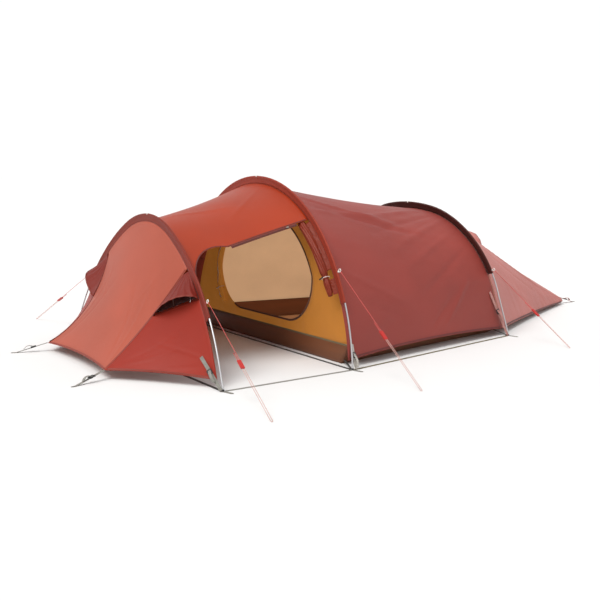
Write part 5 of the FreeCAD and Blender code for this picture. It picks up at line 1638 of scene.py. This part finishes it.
# %% Tabs on the sleeves
def apex_tab(hoop_name):
    hoop = HOOPS[hoop_name]
    crown = hoop.total / 2
    middle = hoop.point(crown)
    radius = SKIN + 0.0003 + WEB_THICK / 2
    points, normals = [], []
    for i in range(13):
        angle = math.pi * (i / 12)
        out = hoop.normal * math.cos(angle) + hoop.up * math.sin(angle)
        points.append(middle + out * radius)
        normals.append(out)
    return strip("tab_apex_" + hoop_name, points, normals, 0.012, WEB_WHITE)


apex = [apex_tab(name) for name in HOOPS]
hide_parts("apex_tabs")


def guy_tab(hoop_name, side):
    """Loop of tape from the sleeve's seam that holds the ring."""
    out, outward = ring_place(hoop_name, side)
    start = out + outward * (SKIN + 0.0003)
    normal = HOOPS[hoop_name].normal
    path = [(0.0, 0.0010), (0.003, 0.0016), (0.006, 0.0020), (0.0085, 0.0015), (0.0098, 0.0),
            (0.0085, -0.0015), (0.006, -0.0020), (0.003, -0.0016), (0.0, -0.0010)]
    points = [start + outward * a + normal * b for a, b in path]
    normals = [normal, normal, normal, (normal + outward).normalized(), outward, (outward - normal).normalized(),
               -normal, -normal, -normal]
    material = WEB_RED if hoop_name == "front" else WEB_WHITE
    return strip("tab_guy_%s_%s" % (hoop_name, side), points, normals, 0.010, material, thick=0.0008)


guy_tabs = [guy_tab(name, side) for name in HOOPS for side in SIDES]
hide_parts("guy_tabs")


def tube(name, points, radius, material, around=10, closed=False):
    """Tube through points; radius(share along, share round) is its size there. Closed: a ring."""
    verts, uvs = [], []
    n, side, runs = len(points), None, travelled(points)
    for i, p in enumerate(points):
        before = points[(i - 1) % n] if closed else points[max(i - 1, 0)]
        after = points[(i + 1) % n] if closed else points[min(i + 1, n - 1)]
        ahead = (after - before).normalized()
        side = ahead.orthogonal().normalized() if side is None else (side - ahead * side.dot(ahead)).normalized()
        other = ahead.cross(side)
        for k in range(around):
            a = math.tau * k / around
            verts.append(p + (side * math.cos(a) + other * math.sin(a)) * radius(i / n, k / around))
            uvs.append((runs[i], (k / around) * math.tau * 0.01))
    faces = grid_faces(n, around, round_rows=closed, round_columns=True)
    if not closed:
        faces += [tuple(reversed(range(around))), tuple(range((n - 1) * around, n * around))]
    return new_mesh(name, verts, faces, material, uvs)


def hanger(name, hoop, share, shift):
    run = hoop.total * share
    start = hoop.point(run, DEPTH + CLOTH + 0.001)
    end = hoop.point(run, INSET - 0.0015) + Vector((shift, 0, 0))
    points = [mix(start, end, i / 16) for i in range(17)]

    def radius(t, k):
        hook = 1.0 if t < 0.34 else 0.62
        return 0.0026 * hook * (0.75 + 0.25 * math.sin(t * 40) ** 2)

    return settle(tube(name, points, radius, CORD_BLACK, 8))


for i, share in enumerate([0.16, 0.33, 0.5, 0.67, 0.84]):
    hanger("hanger_rear_%d" % i, REAR, share, 0)
    hanger("hanger_mid_%d" % i, MID, share, -FLOOR_GAP)
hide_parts("inner_hangers")


# %% [markdown]
# ## Zips
# Both doorways have coil zips: a woven tape with a spiral of nylon along its edge.
# The tape is a narrow strip that follows the doorway's edge. The coil is one mesh
# of short bars, one for each turn, which is what shows at this size.

# %% Zips
ZIP_FRONT_X, ZIP_REAR_X = TURN_X + 0.020, MID_X - 0.078
FLY_TAPE = webbing_finish("zip tape, dark red", srgb(104, 34, 22), 0.0016)
INNER_TAPE = webbing_finish("zip tape, brown", srgb(110, 62, 34), 0.0016)


def zip_point(u, v):
    x = mix(ZIP_FRONT_X, ZIP_REAR_X, u)
    z = DOOR_TOP_FRONT + TOP_SLOPE * (x - TURN_X) - mix(0.0003, 0.012, v)
    return porch_point(*surface_at(porch_point, x, z, 0.5, 0.25))


def zip_out(u, v):
    return -sheet_normal(zip_point, u, v, Vector((0, 1, -0.3)))


panel("zip_tape_fly", zip_point, 60, 4, FLY_TAPE, thick=0.0009, outward=zip_out,
      replaces=["fly_zip"])


def bars(name, places, material, slot):
    """Coil turns as one mesh: each place is centre, across, along, out, with half sizes in metres."""
    verts, faces = [], []
    for centre, across, along, out, half in places:
        first = len(verts)
        for a, b, c in ((-1, -.7, 0), (-1, .7, 0), (1, .7, 0), (1, -.7, 0),
                        (-.7, -.45, 1), (-.7, .45, 1), (.7, .45, 1), (.7, -.45, 1)):
            verts.append(centre + across * (a * half[0]) + along * (b * half[1]) + out * (c * half[2]))
        for face in ((0, 1, 5, 4), (1, 2, 6, 5), (2, 3, 7, 6), (3, 0, 4, 7), (4, 5, 6, 7), (3, 2, 1, 0)):
            faces.append(tuple(first + i for i in face))
    return settle(new_mesh(name, verts, faces, material, [(0, 0)] * len(verts)))


def coil_along(points, outs, width):
    made = []
    for i in range(1, len(points) - 1):
        along = (points[i + 1] - points[i - 1]).normalized()
        out = outs[i]
        across = out.cross(along).normalized()
        made.append((points[i] + out * 0.0001, across, along, out, (width / 2, 0.0009, 0.0009)))
    return made


TURNS, COIL = 190, 0.005
fly_coil = [zip_point(i / TURNS, 0.5) for i in range(TURNS + 1)]
fly_outs = [zip_out(i / TURNS, 0.5) for i in range(0, TURNS + 1, 10)]
bars("zip_coil_fly", coil_along(fly_coil, [fly_outs[i // 10] for i in range(TURNS + 1)], COIL), TEETH_DARK,
     "zip_dark")


def kept_start(kept, total):
    """First kept index after the gap where the zip is open."""
    present = set(kept)
    return next(i for i in kept if (i - 1) % total not in present)


def inner_zip():
    outer, inner = inner_doorway_path(grow=0.006), inner_doorway_path(grow=-0.006)
    kept = [i for i, (y, z) in enumerate(HOLE) if not (y > 0.7 * DOOR_HALF and 0.200 < z < 0.720)]
    first_kept = kept_start(kept, len(HOLE))
    kept.sort(key=lambda i: (i - first_kept) % len(HOLE))
    face_x = FLOOR_FRONT - 0.0003
    verts, uvs = [], []
    run = 0.0
    for row, i in enumerate(kept):
        if row:
            run += math.dist(HOLE[i], HOLE[kept[row - 1]])
        for k in range(4):
            y, z = mix(outer[i][0], inner[i][0], k / 3), mix(outer[i][1], inner[i][1], k / 3)
            verts.append((face_x, y, z))
            uvs.append((run, k * 0.004))
    obj = new_mesh("zip_tape_inner", verts, grid_faces(len(kept), 4), INNER_TAPE, uvs)
    face_towards(obj, -FORWARD)
    thicken(obj, 0.0009, 1.0)
    settle(obj, ["inner_zip"])
    line = []
    for one, other in zip(kept, kept[1:]):
        a, b = HOLE[one], HOLE[other]
        steps = max(1, round(math.dist(a, b) / 0.0026))
        line += [Vector((face_x - 0.0010, mix(a[0], b[0], s / steps), mix(a[1], b[1], s / steps)))
                 for s in range(steps)]
    bars("zip_coil_inner", coil_along(line, [-FORWARD] * len(line), COIL), TEETH, "zip_dark")
    print("inner zip", round(run, 2), "m,", len(line), "turns")


inner_zip()


# %% [markdown]
# ## Rolled doors
# The porch door is rolled up and tied beside the middle pole by a loop and toggle,
# and the inner door hangs in a roll at the far side. A roll of thin cloth is not a
# cylinder: it is a spiral with a loose edge, lumpy, squeezed where it is tied and
# wider above. Its skin is a tube whose radius changes with lobes that twist along it.

# %% Rolls
ROLL_RADIUS, INNER_ROLL_RADIUS = 0.024, 0.019
ROLL_INSET = DEPTH + ROLL_RADIUS + 0.016
ROLL_SHIFT = Vector((-ROLL_RADIUS - 0.006, 0, 0))
ROLL_LOW, ROLL_HIGH = MID.run_at(0.400, ROLL_INSET), MID.run_at(0.800, ROLL_INSET)
TOGGLE_Z = 0.500


def roll_radius(tie, base, lobes, twist, taper=0.25):
    def radius(t, k):
        angle = math.tau * k
        folds = abs(math.sin(lobes * angle / 2 + twist * t * math.tau)) ** 0.7
        pinch = 1 - 0.36 * math.exp(-((t - tie) / 0.045) ** 2)
        lump = 0.05 * ripple_at(t * 9.0, math.cos(angle) * 1.2, math.sin(angle) * 1.2 + 4.0)
        fall = 1 - taper * smooth_step(tie, 0.0, t)
        end = 0.72 + 0.28 * smooth_step(0.0, 0.04, t) * smooth_step(0.0, 0.04, 1 - t)
        return base * (0.80 + 0.20 * folds + lump) * pinch * fall * end

    return radius


def share_at(points, height):
    return min(range(len(points)), key=lambda i: abs(points[i].z - height)) / len(points)


roll_line = [MID.point(mix(ROLL_LOW, ROLL_HIGH, i / 110), ROLL_INSET) + ROLL_SHIFT for i in range(111)]
porch_tie = share_at(roll_line, TOGGLE_Z)
settle(tube("cloth_porch_door_roll", roll_line, roll_radius(porch_tie, ROLL_RADIUS, 7, 1.1, 0.30), ROLL_RED, 56),
       ["porch_door_roll"])


def flap(low, high):
    """Cloth from the sleeve's root to the back of the roll, between two runs of the hoop."""

    def point(u, v):
        run = mix(low, high, v)
        root = MID.point(run, DEPTH, -FIN - 0.0003)
        centre = MID.point(run, ROLL_INSET) + ROLL_SHIFT
        return mix(root, centre + (root - centre).normalized() * (ROLL_RADIUS * 0.80), u)

    return point


def flap_out(u, v):
    return Vector((-1, -0.8, 0.3)).normalized()


def flap_relief(u, v):
    return 0.0028 * ripple_at(u * 2, v * 14, 71.0) * edge_calm(u, v, 0.2)


FLAP_HIGH = min(ROLL_HIGH, MID.run_at(DOOR_TOP_REAR, DEPTH)) - 0.015
FLAPS = {"upper": (MID.run_at(TOGGLE_Z + 0.030, ROLL_INSET), FLAP_HIGH),
         "lower": (ROLL_LOW + 0.004, MID.run_at(TOGGLE_Z - 0.016, ROLL_INSET))}
for part_name, (low, high) in FLAPS.items():
    panel("cloth_porch_door_flap_" + part_name, flap(low, high), 12, 40, ROLL_RED, thick=0.0012, outward=flap_out,
          relief=flap_relief)

INNER_ROLL_X = FLOOR_FRONT - INNER_ROLL_RADIUS - 0.004 - 0.0006


def inner_roll_line(count=120):
    low, high = (DOOR_HALF * 0.88, DOOR_SILL + 0.020), (DOOR_HALF * 0.60, DOOR_TOP - 0.115)
    (uy, uz), radius = circle_through(low, (DOOR_HALF * 0.985, DOOR_WIDE - 0.060), high)
    first, last = (math.atan2(p[1] - uz, p[0] - uy) for p in (low, high))
    turns = [mix(first, last, i / count) for i in range(count + 1)]
    return [Vector((INNER_ROLL_X, uy + radius * math.cos(turn), uz + radius * math.sin(turn))) for turn in turns]


inner_line = inner_roll_line()
inner_tie = share_at(inner_line, 0.300)
inner_radius = roll_radius(inner_tie, INNER_ROLL_RADIUS, 6, 1.6, 0.12)
settle(tube("cloth_inner_door_roll", inner_line, inner_radius, YELLOW, 48), ["inner_door_roll"])


# %% Frill and ties of the rolls
def frill():
    """White edge tape of the rolled inner door, a wavy strip down the roll's front."""
    points, normals = [], []
    for i in range(6, 112):
        t = i / 120
        out = Vector((-1, -0.35 * math.cos(t * 19.0), 0.1 * math.sin(t * 33.0))).normalized()
        points.append(inner_line[i] + out * (INNER_ROLL_RADIUS * 1.08 + 0.0012 * math.sin(t * 90)))
        normals.append(out)
    strip("edge_inner_door", points, normals, 0.009, WEB_WHITE, thick=0.0007, crown=0.001)


frill()


def tie_loop(name, line, height, radius, replaces=()):
    """Elastic loop round a roll, with its lay showing as a slight rope twist."""
    i = min(range(len(line)), key=lambda k: abs(line[k].z - height))
    axis = (line[i + 1] - line[i - 1]).normalized()
    side = axis.orthogonal().normalized()
    other = axis.cross(side)
    points = [line[i] + (side * math.cos(a) + other * math.sin(a)) * radius * (0.90 + 0.03 * math.sin(3 * a))
              for a in [math.tau * k / 64 for k in range(64)]]

    def twisted(t, k):
        return 0.0021 * (1 + 0.14 * math.sin(math.tau * (k * 2 + t * 22)))

    settle(tube(name, points, twisted, ELASTIC, 12, closed=True), replaces)


tie_loop("loop_porch_door", roll_line, TOGGLE_Z, ROLL_RADIUS + 0.0023, ["toggle_loops"])
tie_loop("loop_inner_door", inner_line, 0.300, INNER_ROLL_RADIUS + 0.0023)


# %% [markdown]
# ## Seams, hems and thread
# Panels meet in felled seams: a doubled strip with a row of stitches on each side.
# Hems and door edges are bound with tape. These lines are what tell the eye that
# the cloth was cut and sewn, so they are laid on top of the panels as thin strips.

# %% Seam helper
SEAM_LIFT = 0.0008


def seam_tape(name, point, outward, start, end, width, material, steps=90, stitched=True):
    """Narrow strip on a sheet from one place on it to another, with thread down both edges."""
    points, normals = [], []
    for i in range(steps + 1):
        u, v = mix(start[0], end[0], i / steps), mix(start[1], end[1], i / steps)
        out = outward(u, v).normalized()
        points.append(point(u, v) + out * SEAM_LIFT)
        normals.append(out)
    obj = strip(name, points, normals, width, material, thick=0.0007)
    if stitched:
        for i in range(steps):
            one, other = points[i], points[i + 1]
            side = normals[i].cross((other - one).normalized())
            for sign in (-1, 1):
                shift = side * (sign * width * 0.32) + normals[i] * 0.0005
                stitch_row(one + shift, other + shift, normals[i], pitch=0.006, length=0.0036)
    return obj


BODY_TAPE = cloth_finish("hem tape, dark mauve", srgb(110, 46, 42), ripple=0.4)
TAIL_TAPE = cloth_finish("hem tape, brown", srgb(96, 44, 40), ripple=0.4)
FRONT_TAPE = cloth_finish("hem tape, brick", srgb(132, 54, 42), ripple=0.4)
body_out = outward_of(body_inward)
roof_out = outward_of(roof_inward)
tail_out = outward_of(tail_inward)
nose_out = outward_of(nose_inward)
panel_out = outward_of(panel_inward)


def two_hems(name, point, out, start, end, width, material):
    """The same seam near v = 0 and near v = 1 of a sheet that reaches across the tent."""
    seam_tape(name + "_near", point, out, start, end, width, material)
    seam_tape(name + "_far", point, out, (start[0], 1 - start[1]), (end[0], 1 - end[1]), width, material)


two_hems("hem_body", body_point, body_out, (0.01, 0.004), (0.99, 0.004), 0.012, BODY_TAPE)
two_hems("hem_tail", tail_point, tail_out, (0.01, 0.004), (0.98, 0.010), 0.012, TAIL_TAPE)
seam_tape("hem_front", nose_point, nose_out, (0.992, 0.01), (0.992, 0.99), 0.012, FRONT_TAPE)
for side_name in SIDES:
    seam_tape("hem_side_" + side_name, on_side(side_name, panel_point), on_side(side_name, panel_out), (0.02, 0.985),
              (0.98, 0.985), 0.012, FRONT_TAPE, 50)
two_hems("seam_front", nose_point, nose_out, (0.02, 0.006), (0.98, 0.006), 0.008, FRONT_TAPE)
seam_tape("edge_porch_door", roof_point, roof_out, (0.015, 0.0028), (0.985, 0.0028), 0.006, FLY_TAPE, 120,
          stitched=False)
for side_name in SIDES:
    seam_tape("brim_" + side_name, on_side(side_name, hood_point), on_side(side_name, hood_out), (0.03, 0.985),
              (0.97, 0.985), 0.009, FRONT_TAPE, 60)
for name, point, out, steps in (("near", tub_wall_point("near"), tub_out("near"), 120),
                                ("far", tub_wall_point("far"), tub_out("far"), 120),
                                ("front", tub_end_point(FLOOR_FRONT, 0.0012), always(-FORWARD), 80)):
    seam_tape("tub_edge_" + name, point, out, (0.002, 0.97), (0.998, 0.97), 0.010, WEB_OLIVE, steps)


# %% Thread
def sew_all():
    """Every stitch of the tent as one mesh of small raised lozenges."""
    verts, faces = [], []
    for centre, way, side, out, length, radius in STITCHES:
        first = len(verts)
        verts += [centre - way * length / 2, centre + side * radius, centre + way * length / 2,
                  centre - side * radius, centre + out * radius]
        for face in ((0, 3, 4), (3, 2, 4), (2, 1, 4), (1, 0, 4), (0, 1, 2, 3)):
            faces.append(tuple(first + i for i in face))
    settle(new_mesh("thread", verts, faces, THREAD, [(0, 0)] * len(verts), smooth=False))
    print(len(STITCHES), "stitches")


sew_all()


# %% [markdown]
# ## Floor and lamps
# The floor is a wide pale plane. The sky gives even light. One soft distant lamp
# shines from high in front, on the left, so that each hoop has a lit side, and a
# much weaker one fills in from the door side.

# %% Floor and lamps
def plain_floor():
    verts = [(-40, -40, 0), (60, -40, 0), (60, 80, 0), (-40, 80, 0)]

    def build(tree):
        where = solid_place(tree)
        soft = cloudy(tree, where, 0.8)
        return {"Base Color": blend_colours(tree, soft, (0.75, 0.75, 0.75), (0.77, 0.77, 0.77)),
                "Roughness": 0.85 + soft * 0.05}

    material = finish("floor, pale", build, Specular_IOR_Level=0.1)
    new_mesh("floor", verts, [(0, 1, 2, 3)], material, smooth=False)


plain_floor()


def lamp(name, shines, softness, power, colour=(1, 1, 1)):
    """Distant soft lamp that shines one way over the whole floor."""
    light = bpy.data.lights.new(name, "SUN")
    light.angle = math.radians(softness)
    light.energy = power
    light.color = colour
    obj = in_scene(name, light)
    obj.rotation_mode = "QUATERNION"
    obj.rotation_quaternion = Vector(shines).to_track_quat("-Z", "Y")


lamp("key", (0.52, 0.10, -0.84), 38, 2.5, (1.0, 0.985, 0.96))
lamp("fill", (-0.2, 0.9, -0.35), 70, 0.18)
world = bpy.data.worlds.new("sky")
world.use_nodes = True
seen = place(world.node_tree, "ShaderNodeLightPath")
world.node_tree.links.new((seen * 0.3 + 0.72).socket, world.node_tree.nodes["Background"].inputs["Strength"])
world.node_tree.nodes["Background"].inputs["Color"].default_value = (1.0, 1.0, 1.0, 1.0)
bpy.context.scene.world = world
print("lamps and floor ready")
